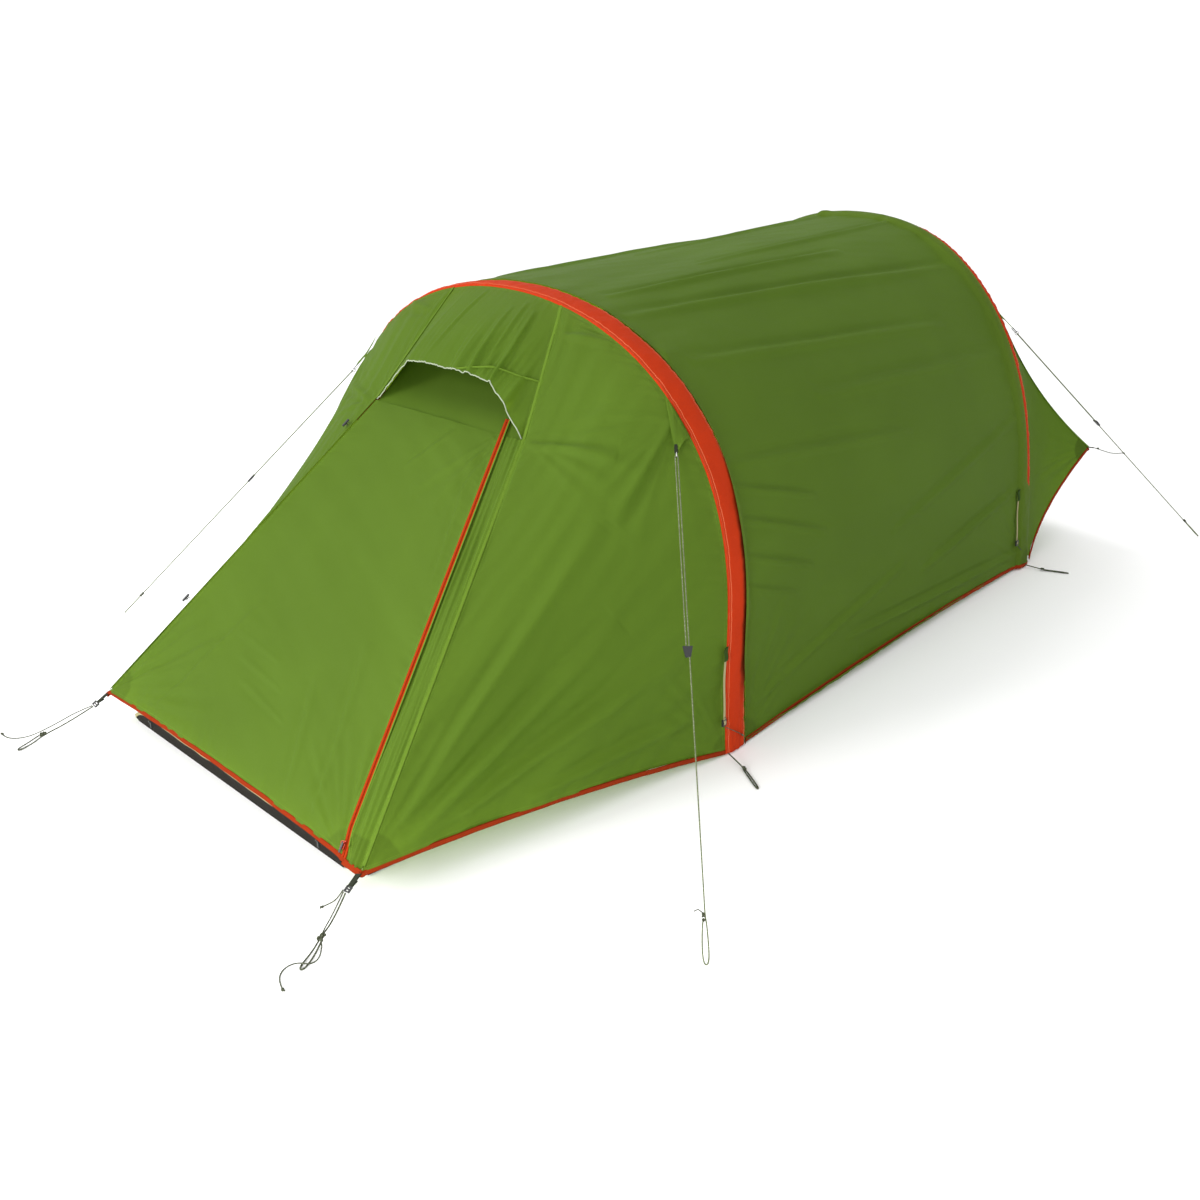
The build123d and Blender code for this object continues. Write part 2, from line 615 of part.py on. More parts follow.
cord("peg_cord_front_far", [far_end, at_door(-598, -105, 31), at_door(-614, -170, 13),
                            at_door(-606, -205, 5), at_door(-602, -239, GROUND), at_door(-614, -241, GROUND),
                            at_door(-620, -206, 5.5), at_door(-623, -178, 12)], PEG_CORD_D)
cord("peg_tail_front_far", [far_end + Vector(-6, 0, 0), at_door(-603, -85, 48), at_door(-613, -122, 34),
                            at_door(-632, -163, 17), at_door(-648, -195, 6), at_door(-672, -222, GROUND),
                            at_door(-698, -237, GROUND), at_door(-722, -236, GROUND)], TAIL_D)


def foot_loop(name, foot, knot, end, half):
    """A short loop from a beam's foot to where its peg stands."""
    run = (end - knot).normalized()
    side = run.cross(Vector(0, 0, 1)).normalized() * half
    cord(name, [foot, knot - side * 0.5, lerp(knot, end, 0.35) - side, end - side, end + side,
                lerp(knot, end, 0.35) + side, knot + side * 0.8 + run * 3], PEG_CORD_D)


foot_loop("foot_loop_front_near", at_door(767, 972, 14), at_door(830, 954, 4), at_door(907, 909, GROUND), 3.2)
foot_loop("foot_loop_rear_near", at_door(748, 2612, 12), at_door(806, 2628, 4), at_door(882, 2661, GROUND), 3.2)


FOOT_CORD_D = 2.2


def foot_cord(name, curve):
    """From a foot strap's buckle round the outside of the sleeve."""
    p = point_at_height(curve, 60)
    start = Vector(p.X + 12, p.Y - GAP - 4 - STRAP_W / 2, 93.5)
    cord(name, [start, Vector(p.X + 12, p.Y - 36, 82), Vector(p.X + 10, p.Y - 14, 66),
                Vector(p.X + 10.5, p.Y + 8, 50), Vector(p.X + 9, p.Y + 22, 38)], FOOT_CORD_D)


foot_cord("foot_cord_front_near", front_curve)
foot_cord("foot_cord_rear_near", rear_curve)


os.makedirs("parts", exist_ok=True)
for name, shape in parts.items():
    export_step(shape, f"parts/{name}.step")
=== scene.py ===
import json
import math

import bpy
import numpy as np
from mathutils import Matrix, Vector


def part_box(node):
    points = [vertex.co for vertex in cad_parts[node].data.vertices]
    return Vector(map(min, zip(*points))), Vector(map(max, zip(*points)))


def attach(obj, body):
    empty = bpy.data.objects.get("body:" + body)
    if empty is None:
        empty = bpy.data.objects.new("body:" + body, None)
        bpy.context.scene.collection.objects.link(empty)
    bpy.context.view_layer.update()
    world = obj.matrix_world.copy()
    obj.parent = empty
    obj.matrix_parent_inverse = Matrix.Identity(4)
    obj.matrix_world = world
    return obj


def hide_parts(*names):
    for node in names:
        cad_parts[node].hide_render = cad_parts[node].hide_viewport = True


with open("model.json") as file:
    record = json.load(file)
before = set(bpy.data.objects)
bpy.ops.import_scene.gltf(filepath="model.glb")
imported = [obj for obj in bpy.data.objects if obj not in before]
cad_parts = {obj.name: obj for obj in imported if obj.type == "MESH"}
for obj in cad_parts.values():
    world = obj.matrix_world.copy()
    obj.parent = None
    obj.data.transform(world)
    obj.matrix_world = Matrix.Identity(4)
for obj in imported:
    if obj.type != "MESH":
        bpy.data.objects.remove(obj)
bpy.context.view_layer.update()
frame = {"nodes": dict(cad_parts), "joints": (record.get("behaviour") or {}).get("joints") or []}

# ---------------------------------------------------------------- measures of the CAD model, in metres
JOINTS = {j["name"]: j for j in frame["joints"]}
FAR_CORNER = np.array(JOINTS["door_swing"]["pos_m"])
CORNER = FAR_CORNER * (-1, 1, 1)
SIDE = np.array(JOINTS["zip_slide"]["axis"])           # up the near seam, from the corner to the hood
DOOR_Y = CORNER[1]
HOOD_Z, HOOD_Y = 0.787, DOOR_Y + 0.756
SEAM_LENGTH = (HOOD_Z - CORNER[2]) / SIDE[2]
APEX = CORNER + SIDE * SEAM_LENGTH                     # near end of the vent hood's mouth
DOOR_OUT = np.array((0, -SIDE[2], SIDE[1])) / math.hypot(SIDE[1], SIDE[2])
HOOD_ARCH_X = 0.205
STRIP_W, ZIP_W = 0.068, 0.016
REAR_CORNER = np.array((0.760, DOOR_Y + 2.975, 0.346))
REAR_END_Y = DOOR_Y + 3.090
BEAM_INSET = 0.025
SLEEVE_W = 0.076
FRONT_SHAPE = [(1, 0), (0.99, 0.20), (0.989, 0.41), (0.916, 0.641), (0.697, 0.844), (0.37, 0.964)]
REAR_SHAPE = [(1, 0), (0.975, 0.18), (0.943, 0.365), (0.862, 0.575), (0.679, 0.79), (0.378, 0.952)]


# ---------------------------------------------------------------- small mathematics
def unit(v):
    v = np.asarray(v, float)
    return v / np.linalg.norm(v, axis=-1, keepdims=True)


def lerp(a, b, t):
    t = np.asarray(t, float)[..., None]
    return np.asarray(a) * (1 - t) + np.asarray(b) * t


def xyz(x, y, z):
    """Points from arrays or numbers of their coordinates."""
    return np.stack(np.broadcast_arrays(x, y, z), -1)


def metres_along(path):
    """Metres run at each point of a path."""
    return np.concatenate([[0], np.cumsum(np.linalg.norm(np.diff(path, axis=0), axis=1))])


def away_from(points, at):
    return np.linalg.norm(points - at, axis=-1)


def bow(t):
    return 4 * t * (1 - t)


def ramp(x, a, b):
    """0 at a, 1 at b, smooth between."""
    t = np.clip((x - a) / (b - a), 0, 1)
    return t * t * (3 - 2 * t)


class Curve:
    """A smooth curve through points. Its parameter runs from 0 to 1 with the chords' lengths."""

    def __init__(self, points):
        self.p = np.array(points, float)
        steps = np.linalg.norm(np.diff(self.p, axis=0), axis=1)
        self.t = np.concatenate([[0], np.cumsum(steps)]) / steps.sum()
        n, h = len(self.p), np.diff(self.t)
        a, b = np.eye(n), np.zeros((n, 3))
        slope = np.diff(self.p, axis=0) / h[:, None]
        for i in range(1, n - 1):
            a[i, i - 1:i + 2] = h[i - 1], 2 * (h[i - 1] + h[i]), h[i]
            b[i] = 6 * (slope[i] - slope[i - 1])
        self.m = np.linalg.solve(a, b)

    def __call__(self, u):
        u = np.clip(np.asarray(u, float), 0, 1)
        i = np.clip(np.searchsorted(self.t, u, side="right") - 1, 0, len(self.t) - 2)
        h = (self.t[i + 1] - self.t[i])[..., None]
        b = ((u - self.t[i])[..., None]) / h
        a = 1 - b
        return (a * self.p[i] + b * self.p[i + 1]
                + ((a ** 3 - a) * self.m[i] + (b ** 3 - b) * self.m[i + 1]) * h * h / 6)


def noise(x, y, seed):
    """Smooth gradient noise over the plane, about -1 to 1."""
    angle = np.random.RandomState(seed).uniform(0, 2 * np.pi, (64, 64))
    xi, yi = np.floor(x).astype(int), np.floor(y).astype(int)
    fx, fy = x - xi, y - yi

    def corner(i, j):
        g = angle[(xi + i) % 64, (yi + j) % 64]
        return np.cos(g) * (fx - i) + np.sin(g) * (fy - j)

    wx, wy = fx ** 3 * (fx * (6 * fx - 15) + 10), fy ** 3 * (fy * (6 * fy - 15) + 10)
    low = corner(0, 0) * (1 - wx) + corner(1, 0) * wx
    high = corner(0, 1) * (1 - wx) + corner(1, 1) * wx
    return 1.5 * (low * (1 - wy) + high * wy)


def scaled_arch(shape, y, half_width, height):
    right = [(half_width * a, y, height * b) for a, b in shape]
    return Curve(right + [(0, y, height)] + [(-x, y, z) for x, y, z in reversed(right)])


def arch_of(node, shape, grow):
    """The line of a beam, from its foot at +X over the crown, read from its CAD node's box."""
    low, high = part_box(node)
    r = (high.y - low.y) / 2
    y = (low.y + high.y) / 2
    w, h = high.x - r + grow, high.z - r + grow
    return scaled_arch(shape, y, w, h)


front = arch_of("air_beam_front", FRONT_SHAPE, BEAM_INSET)
rear = arch_of("air_beam_rear", REAR_SHAPE, BEAM_INSET)
FRONT_Y, REAR_Y = front.p[0][1], rear.p[0][1]


def share_at(curve, axis, value):
    """The parameter on the +X half where an arch reaches this X or this height."""
    u = np.linspace(0.0, 0.5, 4001)
    c = curve(u)[:, axis]
    if axis == 0:
        return u[np.nonzero(c > value)[0][-1]]
    return u[np.nonzero(c < value)[0][-1]]


# ---------------------------------------------------------------- camera, lights and floor
AZIMUTH, ELEVATION, ROLL = np.radians((44.40, 24.39, -0.99))
CAMERA_AT = (2.35, -2.622, 1.616)
WORLD_STRENGTH = 1.12
# name, place, what it points at, size in metres, watts
LIGHTS = [("key", (-2.2, -5.2, 3.0), (0, -0.6, 0.4), 2.4, 215),
          ("low", (1.5, -3.3, 0.8), (0.45, -1.5, 0.2), 0.8, 42),
          ("top", (-2.4, 0.6, 4.4), (0, 0.3, 0.8), 2.0, 60)]
FLOOR_HALF = 40.0


def make_camera():
    back = Vector((math.sin(AZIMUTH) * math.cos(ELEVATION), -math.cos(AZIMUTH) * math.cos(ELEVATION),
                   math.sin(ELEVATION)))
    right = Vector((math.cos(AZIMUTH), math.sin(AZIMUTH), 0))
    up = back.cross(right)
    x = right * math.cos(ROLL) + up * math.sin(ROLL)
    y = up * math.cos(ROLL) - right * math.sin(ROLL)
    data = bpy.data.cameras.new("camera")
    data.lens, data.sensor_width = 36, 36
    camera = bpy.data.objects.new("camera", data)
    camera.matrix_world = Matrix((x, y, back)).transposed().to_4x4()
    camera.location = CAMERA_AT
    bpy.context.scene.collection.objects.link(camera)
    bpy.context.scene.camera = camera


def area_light(name, at, target, size, power):
    data = bpy.data.lights.new(name, "AREA")
    data.shape, data.size, data.size_y, data.energy = "RECTANGLE", size, size, power
    light = bpy.data.objects.new(name, data)
    light.location = at
    light.rotation_euler = (Vector(target) - Vector(at)).to_track_quat("-Z", "Y").to_euler()
    bpy.context.scene.collection.objects.link(light)


def make_studio():
    scene = bpy.context.scene
    scene.view_settings.view_transform = "Standard"
    world = bpy.data.worlds.new("studio")
    world.use_nodes = True
    background = world.node_tree.nodes["Background"]
    background.inputs["Color"].default_value = (1, 1, 1, 1)
    background.inputs["Strength"].default_value = WORLD_STRENGTH
    scene.world = world
    for light in LIGHTS:
        area_light(*light)


def make_floor():
    data = bpy.data.meshes.new("floor")
    r = FLOOR_HALF
    data.from_pydata([(-r, -r, 0), (r, -r, 0), (r, r, 0), (-r, r, 0)], [], [(0, 1, 2, 3)])
    floor = bpy.data.objects.new("floor", data)
    bpy.context.scene.collection.objects.link(floor)
    floor.data.materials.append(FLOOR)


# ---------------------------------------------------------------- materials
class Nodes:
    """A material's node tree, with a short way to add a node and set or link its inputs."""

    def __init__(self, name):
        self.material = bpy.data.materials.new(name)
        self.material.use_nodes = True
        self.tree = self.material.node_tree
        self.tree.nodes.clear()

    def add(self, kind, inputs=None, **settings):
        node = self.tree.nodes.new(kind)
        for key, value in settings.items():
            setattr(node, key, value)
        for key, value in (inputs or {}).items():
            if isinstance(value, bpy.types.NodeSocket):
                self.tree.links.new(value, node.inputs[key])
            else:
                node.inputs[key].default_value = value
        return node

    def out(self, kind, inputs=None, output=0, **settings):
        return self.add(kind, inputs, **settings).outputs[output]

    def mix(self, factor, a, b):
        node = self.tree.nodes.new("ShaderNodeMix")
        node.data_type = "RGBA"
        for key, value in (("Factor", factor), ("A", a), ("B", b)):
            socket = next(s for s in node.inputs if s.name == key and (key == "Factor" and s.type == "VALUE"
                                                                     or s.type == "RGBA"))
            if isinstance(value, bpy.types.NodeSocket):
                self.tree.links.new(value, socket)
            else:
                socket.default_value = value
        return next(s for s in node.outputs if s.type == "RGBA")

    def math(self, operation, a, b=0.0):
        return self.out("ShaderNodeMath", {0: a, 1: b}, operation=operation)

    def ramp(self, value, low, high):
        return self.out("ShaderNodeMapRange", {0: value, 1: low, 2: high, 3: 0.0, 4: 1.0})

    def finish(self, shader):
        self.add("ShaderNodeOutputMaterial", {"Surface": shader})
        return self.material


def rgb(r, g, b):
    """An sRGB colour, 0 to 255, as linear RGBA."""
    return (*[((c / 255 + 0.055) / 1.055) ** 2.4 if c > 10.31 else c / 3294.6 for c in (r, g, b)], 1.0)


def scaled(colour, k):
    return (*[min(1.0, c * k) for c in colour[:3]], 1.0)


YARN = 0.0009                          # two threads of the flysheet's weave
SEWN_ROWS = (0.004, 0.0085)            # distances of the stitching from a panel's edge


def cloth_material(name, colour, through, share=0.35, rough=0.42, cell=0.005, patch=None, sheen=0.1,
                   specular=0.4, thread_colour=None):
    """Woven cloth: fine yarns, a ripstop grid, soft mottling, and light through it.
    It reads the mesh's 'cloth' attribute, metres along and across the fabric, and a second attribute, 0 to 1,
    that darkens the cloth: its reinforced corners, and painted shade."""
    n = Nodes(name)
    cloth = n.out("ShaderNodeAttribute", output=1, attribute_name="cloth")
    spread = n.out("ShaderNodeAttribute", output=2, attribute_name="patch")
    x, y = (n.add("ShaderNodeSeparateXYZ", {0: cloth}).outputs[i] for i in (0, 1))
    lines = []
    for c in (x, y):
        saw = n.math("PINGPONG", c, cell / 2)
        lines.append(n.math("LESS_THAN", saw, cell * 0.045))
    grid = n.math("MAXIMUM", *lines)
    yarns = []
    for c in (x, y):
        yarns.append(n.math("SINE", n.math("MULTIPLY", c, 2 * math.pi / YARN)))
    yarn = n.math("MULTIPLY", *yarns)
    mottle = n.out("ShaderNodeTexNoise", {"Vector": cloth, "Scale": 3.5, "Detail": 3.0})
    fine = n.out("ShaderNodeTexNoise", {"Vector": cloth, "Scale": 140.0, "Detail": 2.0})
    base = n.mix(n.ramp(mottle, 0.25, 0.75), scaled(colour, 0.94), scaled(colour, 1.06))
    base = n.mix(n.math("MULTIPLY", grid, 0.10), base, scaled(colour, 1.5))
    base = n.mix(n.math("MULTIPLY", n.ramp(fine, 0.35, 0.7), 0.10), base, scaled(colour, 0.8))
    # spread, 0 to 1, darkens the colour and the light through the cloth alike: real reinforced corners, and
    # painted shade under the vent hood, at the door's top and on the front sleeve's flank
    dark = patch or scaled(colour, 0.62)
    base = n.mix(spread, base, dark)
    glow = n.mix(spread, through, scaled(through, 0.45))
    edge = n.add("ShaderNodeSeparateXYZ", {0: cloth}).outputs[2]
    rows = n.math("MAXIMUM", *[n.math("LESS_THAN", n.math("ABSOLUTE", n.math("SUBTRACT", edge, at)), 0.0007)
                               for at in SEWN_ROWS])
    dash = n.math("GREATER_THAN", n.math("PINGPONG", n.math("ADD", x, y), 0.0026), 0.0008)
    sewn = n.math("MULTIPLY", rows, dash)
    base = n.mix(n.math("MULTIPLY", sewn, 0.55), base, thread_colour or scaled(colour, 1.9))
    height = n.math("ADD", n.math("MULTIPLY", yarn, 0.5), n.math("MULTIPLY", grid, 1.2))
    height = n.math("ADD", height, n.math("MULTIPLY", sewn, 2.0))
    bump = n.out("ShaderNodeBump", {"Height": height, "Strength": 0.35, "Distance": 0.00015})
    roughness = n.out("ShaderNodeMapRange", {0: fine, 1: 0.0, 2: 1.0, 3: rough - 0.06, 4: rough + 0.08})
    surface = n.out("ShaderNodeBsdfPrincipled", {
        "Base Color": base, "Roughness": roughness, "Normal": bump,
        "Sheen Weight": sheen, "Sheen Roughness": 0.4, "Specular IOR Level": specular})
    glowing = n.out("ShaderNodeBsdfTranslucent", {"Color": glow, "Normal": bump})
    return n.finish(n.out("ShaderNodeMixShader", {0: share, 1: surface, 2: glowing}))


def plastic_material(name, colour, rough, metallic=0.0):
    """Moulded plastic or painted metal: fine grit, broad mottling, and paler worn edges."""
    n = Nodes(name)
    at = n.out("ShaderNodeTexCoord", output=3)
    grit = n.out("ShaderNodeTexNoise", {"Vector": at, "Scale": 900.0, "Detail": 2.0})
    broad = n.out("ShaderNodeTexNoise", {"Vector": at, "Scale": 30.0, "Detail": 3.0})
    edge = n.out("ShaderNodeNewGeometry", output=7)
    worn = n.math("MULTIPLY", n.ramp(edge, 0.52, 0.62), 0.15)
    base = n.mix(n.ramp(broad, 0.3, 0.7), scaled(colour, 0.9), scaled(colour, 1.1))
    base = n.mix(worn, base, scaled(colour, 1.8))
    roughness = n.out("ShaderNodeMapRange", {0: broad, 1: 0.2, 2: 0.8, 3: rough - 0.08, 4: rough + 0.1})
    normal = n.out("ShaderNodeBump", {"Height": grit, "Strength": 0.06, "Distance": 0.0003})
    return n.finish(n.out("ShaderNodeBsdfPrincipled", {
        "Base Color": base, "Roughness": roughness, "Metallic": metallic, "Normal": normal}))


def webbing_material(name, colour, rib=0.0016, rough=0.75):
    """Woven tape: crossing ribs. It reads the 'cloth' attribute, metres along and across."""
    n = Nodes(name)
    cloth = n.out("ShaderNodeAttribute", output=1, attribute_name="cloth")
    x, y = (n.add("ShaderNodeSeparateXYZ", {0: cloth}).outputs[i] for i in (0, 1))
    a = n.math("SINE", n.math("MULTIPLY", x, 2 * math.pi / rib))
    b = n.math("SINE", n.math("MULTIPLY", y, 2 * math.pi / rib))
    weave = n.math("MULTIPLY", a, b)
    mottle = n.out("ShaderNodeTexNoise", {"Vector": cloth, "Scale": 60.0, "Detail": 3.0})
    base = n.mix(n.ramp(mottle, 0.3, 0.7), scaled(colour, 0.9), scaled(colour, 1.1))
    base = n.mix(n.ramp(weave, -1.0, 1.0), scaled(colour, 0.82), base)
    bump = n.out("ShaderNodeBump", {"Height": weave, "Strength": 0.4, "Distance": 0.0003})
    return n.finish(n.out("ShaderNodeBsdfPrincipled", {
        "Base Color": base, "Roughness": rough, "Normal": bump, "Specular IOR Level": 0.03}))


def cord_material(name, colour, fleck):
    """A braided cord: crossing strands with a fleck."""
    n = Nodes(name)
    at = n.out("ShaderNodeTexCoord", output=3)
    waves = [n.out("ShaderNodeTexWave", {"Vector": n.out("ShaderNodeMapping", {0: at, 2: turn}),
                                         "Scale": 260.0},
                   output=1) for turn in ((0.6, 0.3, 0.9), (-0.6, 0.4, -0.9))]
    braid = n.math("MULTIPLY", *waves)
    spot = n.out("ShaderNodeTexNoise", {"Vector": at, "Scale": 420.0, "Detail": 1.0})
    base = n.mix(n.ramp(spot, 0.5, 0.62), colour, fleck)
    base = n.mix(n.ramp(braid, 0.0, 0.25), scaled(colour, 0.6), base)
    bump = n.out("ShaderNodeBump", {"Height": braid, "Strength": 0.5, "Distance": 0.0004})
    return n.finish(n.out("ShaderNodeBsdfPrincipled", {
        "Base Color": base, "Roughness": 0.75, "Normal": bump, "Specular IOR Level": 0.2}))


def floor_material():
    n = Nodes("floor_paper")
    at = n.out("ShaderNodeTexCoord", output=3)
    broad = n.out("ShaderNodeTexNoise", {"Vector": at, "Scale": 0.6, "Detail": 2.0})
    base = n.mix(broad, (0.93, 0.93, 0.93, 1), (0.96, 0.96, 0.96, 1))
    return n.finish(n.out("ShaderNodeBsdfPrincipled", {"Base Color": base, "Roughness": 0.9}))


FLY = cloth_material("fly_fabric", rgb(84, 110, 34), rgb(140, 178, 36), share=0.30, rough=0.55, sheen=0.0,
                     specular=0.05)
# its darker red is painted shade, used on the front sleeve's shaded rear flank
RED = cloth_material("red_fabric", rgb(176, 50, 18), rgb(210, 60, 16), share=0.08, rough=0.7, sheen=0.0,
                     specular=0.04,
                     patch=rgb(88, 30, 12), thread_colour=rgb(225, 150, 110))
FLOOR = floor_material()
CORD = cord_material("guy_cord", rgb(62, 66, 50), rgb(122, 128, 104))
GUY_CORD = cord_material("tent_guy_cord", rgb(98, 106, 76), rgb(150, 158, 124))


# ---------------------------------------------------------------- cords
def cord(name, points, diameter, knots, material=None):
    """A free cord along one NURBS spline whose control points are the route's points, ending in a knot."""
    data = bpy.data.curves.new(name, "CURVE")
    data.dimensions = "3D"
    data.bevel_depth, data.bevel_resolution, data.use_fill_caps = diameter / 2, 4, True
    spline = data.splines.new("NURBS")
    spline.points.add(len(points) - 1)
    for point, at in zip(spline.points, points):
        point.co = (*at, 1)
    spline.order_u, spline.use_endpoint_u = 3, True
    spline.resolution_u = 12
    data.materials.append(material or CORD)
    piece = bpy.data.objects.new(name + "_line", data)
    bpy.context.scene.collection.objects.link(piece)
    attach(piece, "tent")
    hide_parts(name)
    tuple(points[0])


def add_mesh(name, points, quads, material, slot, nodes=(), body="tent", attributes=None):
    """A mesh piece from arrays of points and faces, with per-point attributes, riding on a body."""
    data = bpy.data.meshes.new(name)
    quads = np.asarray(quads)
    data.vertices.add(len(points))
    data.vertices.foreach_set("co", np.asarray(points, np.float32).ravel())
    data.loops.add(quads.size)
    data.loops.foreach_set("vertex_index", quads.ravel().astype(np.int32))
    data.polygons.add(len(quads))
    data.polygons.foreach_set("loop_start", np.arange(0, quads.size, quads.shape[1], dtype=np.int32))
    data.update(calc_edges=True)
    data.polygons.foreach_set("use_smooth", np.full(len(quads), True))
    for key, values in (attributes or {}).items():
        values = np.asarray(values, np.float32)
        kind = "FLOAT_VECTOR" if values.ndim == 2 else "FLOAT"
        layer = data.attributes.new(key, kind, "POINT")
        layer.data.foreach_set("vector" if values.ndim == 2 else "value", values.ravel())
    data.validate()
    data.materials.append(material)
    piece = bpy.data.objects.new(name, data)
    bpy.context.scene.collection.objects.link(piece)
    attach(piece, body)
    if nodes:
        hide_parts(*nodes)
    return piece


def sheet_quads(n, m, wrap=False):
    """Faces of a grid of points, joined up round its second direction if wrapped."""
    index = np.arange(n * m).reshape(n, m)
    if wrap:
        index = np.concatenate([index, index[:, :1]], axis=1)
    return np.stack([index[:-1, :-1], index[1:, :-1], index[1:, 1:], index[:-1, 1:]], -1).reshape(-1, 4)


def frames(path):
    """Two crossing normals along a path, carried without twist."""
    tangent = unit(np.gradient(path, axis=0))
    side = np.cross((0, 0, 1), tangent[0])
    if np.linalg.norm(side) < 1e-6:
        side = np.cross((1, 0, 0), tangent[0])
    sides = [unit(side)]
    for t in tangent[1:]:
        sides.append(unit(sides[-1] - t * (sides[-1] @ t)))
    sides = np.array(sides)
    return sides, np.cross(tangent, sides)


def tube_arrays(path, radius, count, closed=False):
    """Points and faces of a round tube, closed into a loop or with flat ends."""
    path = np.asarray(path, float)
    if closed:
        path = np.concatenate([path, path[:1]])
    a, b = frames(path)
    radius = np.broadcast_to(radius, len(path))
    angle = np.linspace(0, 2 * np.pi, count, endpoint=False)
    ring = np.cos(angle)[None, :, None] * a[:, None] + np.sin(angle)[None, :, None] * b[:, None]
    points = path[:, None] + ring * radius[:, None, None]
    if closed:
        points[-1] = points[0]
    quads = sheet_quads(len(path), count, wrap=True)
    if closed:
        keep = (len(path) - 1) * count
        quads = np.where(quads >= keep, quads - keep, quads)
        return points.reshape(-1, 3)[:keep], quads
    points = np.concatenate([points.reshape(-1, 3), path[[0, -1]]])
    first, last = len(points) - 2, len(points) - 1
    caps = []
    base = (len(path) - 1) * count
    for k in range(0, count, 2):
        caps.append((first, k, (k + 1) % count, (k + 2) % count))
        caps.append((last, base + (k + 2) % count, base + (k + 1) % count, base + k))
    return points, np.concatenate([quads, np.array(caps)])[:, ::-1]


def merged(parts):
    """Points and faces of several parts as one."""
    points, quads, n = [], [], 0
    for p, q in parts:
        points.append(p)
        quads.append(np.asarray(q) + n)
        n += len(p)
    return np.concatenate(points), np.concatenate(quads)


def knot_arrays(at, along, size, thickness):
    """A tight overhand knot: a trefoil of cord about a point."""
    t = np.linspace(0, 2 * np.pi, 48, endpoint=False)
    shape = np.stack([np.sin(t) + 2 * np.sin(2 * t), np.cos(t) - 2 * np.cos(2 * t), -1.1 * np.sin(3 * t)],
                     1) / 3
    z = unit(along)
    x = unit(np.cross(z, (0.3, 0.5, 0.8)))
    y = np.cross(z, x)
    path = np.asarray(at) + (shape @ np.array([x, z, y])) * size
    return tube_arrays(path, thickness, 8, closed=True)


def tie(name, *knots):
    """A piece of one or more knots: (place, direction, size, thickness)."""
    return add_mesh(name, *merged([knot_arrays(*knot) for knot in knots]), CORD, "cord")


TENT_CORD_D, PEG_CORD_D, TAIL_D, FOOT_CORD_D, CORNER_CORD_D = 0.003, 0.0036, 0.0028, 0.0022, 0.0026
RING_R, RING_WIRE, STRAND, KNOT_SHARE = 0.006, 0.0012, 0.0031, 0.915
GUYS = {"front": dict(ring=np.array((0.630, DOOR_Y + 0.918, 0.780)),
                      peg=np.array((1.210, DOOR_Y + 0.345, 0.0035)),
                      runner=0.4255, length=1.702),
        "rear": dict(ring=np.array((0.592, DOOR_Y + 2.664, 0.770)),
                     peg=np.array((1.080, DOOR_Y + 3.290, 0.0035)),
                     runner=0.4175, length=1.660)}


def guy_frame(which):
    """Ring centre, direction to the ground, the level direction across the guy, and the guy's length."""
    ring, peg = GUYS[which]["ring"], GUYS[which]["peg"]
    d = unit(peg - ring)
    return ring, d, unit(np.cross(d, (0, 0, 1))), float(np.linalg.norm(peg - ring))


def guy_points(which):
    """From the runner up round the ring, down to the knot, and round the loop at the ground."""
    ring, d, s, length = guy_frame(which)
    knot = KNOT_SHARE * length
    stations = [(GUYS[which]["runner"] * length, STRAND), (0.018, STRAND), (0.0004, STRAND),
                (0.0004, -STRAND),
                (0.018, -STRAND), (knot - 0.03, -STRAND), (knot, -STRAND),
                (knot + 0.024, -0.006), (length - 0.002, -0.007), (length - 0.002, 0.007),
                (knot + 0.026, 0.005), (knot + 0.006, 0.0005)]
    return [ring + d * a + s * b for a, b in stations]


def make_guy(node, which, mirror=1):
    flip = np.array((mirror, 1, 1))
    points = [p * flip for p in guy_points(which)]
    ring, d, s, length = guy_frame(which)
    knots = [knot_arrays((ring + d * KNOT_SHARE * length) * flip, d * flip, 0.0042, 0.0016),
             knot_arrays((ring + d * (KNOT_SHARE * length + 0.009)) * flip, s * flip, 0.0034, 0.0015)]
    tail_at = (ring + d * (KNOT_SHARE * length - 0.004)) * flip
    tail = [tail_at, tail_at + s * flip * 0.010 - d * flip * 0.006 + (0, 0, 0.002),
            tail_at + s * flip * 0.019 - d * flip * 0.004]
    knots.append(tube_arrays(np.array(tail), 0.0012, 8))
    piece = add_mesh(node + "_knot", *merged(knots), CORD, "cord")
    cord(node, points, TENT_CORD_D, piece, GUY_CORD)


def at_door(x, y, z):
    """A place measured back from the door's hem line."""
    return np.array((x, DOOR_Y + y, z))


def by_door(*points):
    return [at_door(*point) for point in points]


TAB_OUT = unit((0.12, -0.85, -0.5))
TAB_START = CORNER + TAB_OUT * 0.012 + (-0.004, 0, 0)
LOCK_END = TAB_START + TAB_OUT * 0.0389
REAR_TAB_OUT = unit((0.9, 0.42, -0.05))
GROUND = 0.0022                        # height of a cord's centreline where it lies on the ground
LOOP_HALF = 0.0032


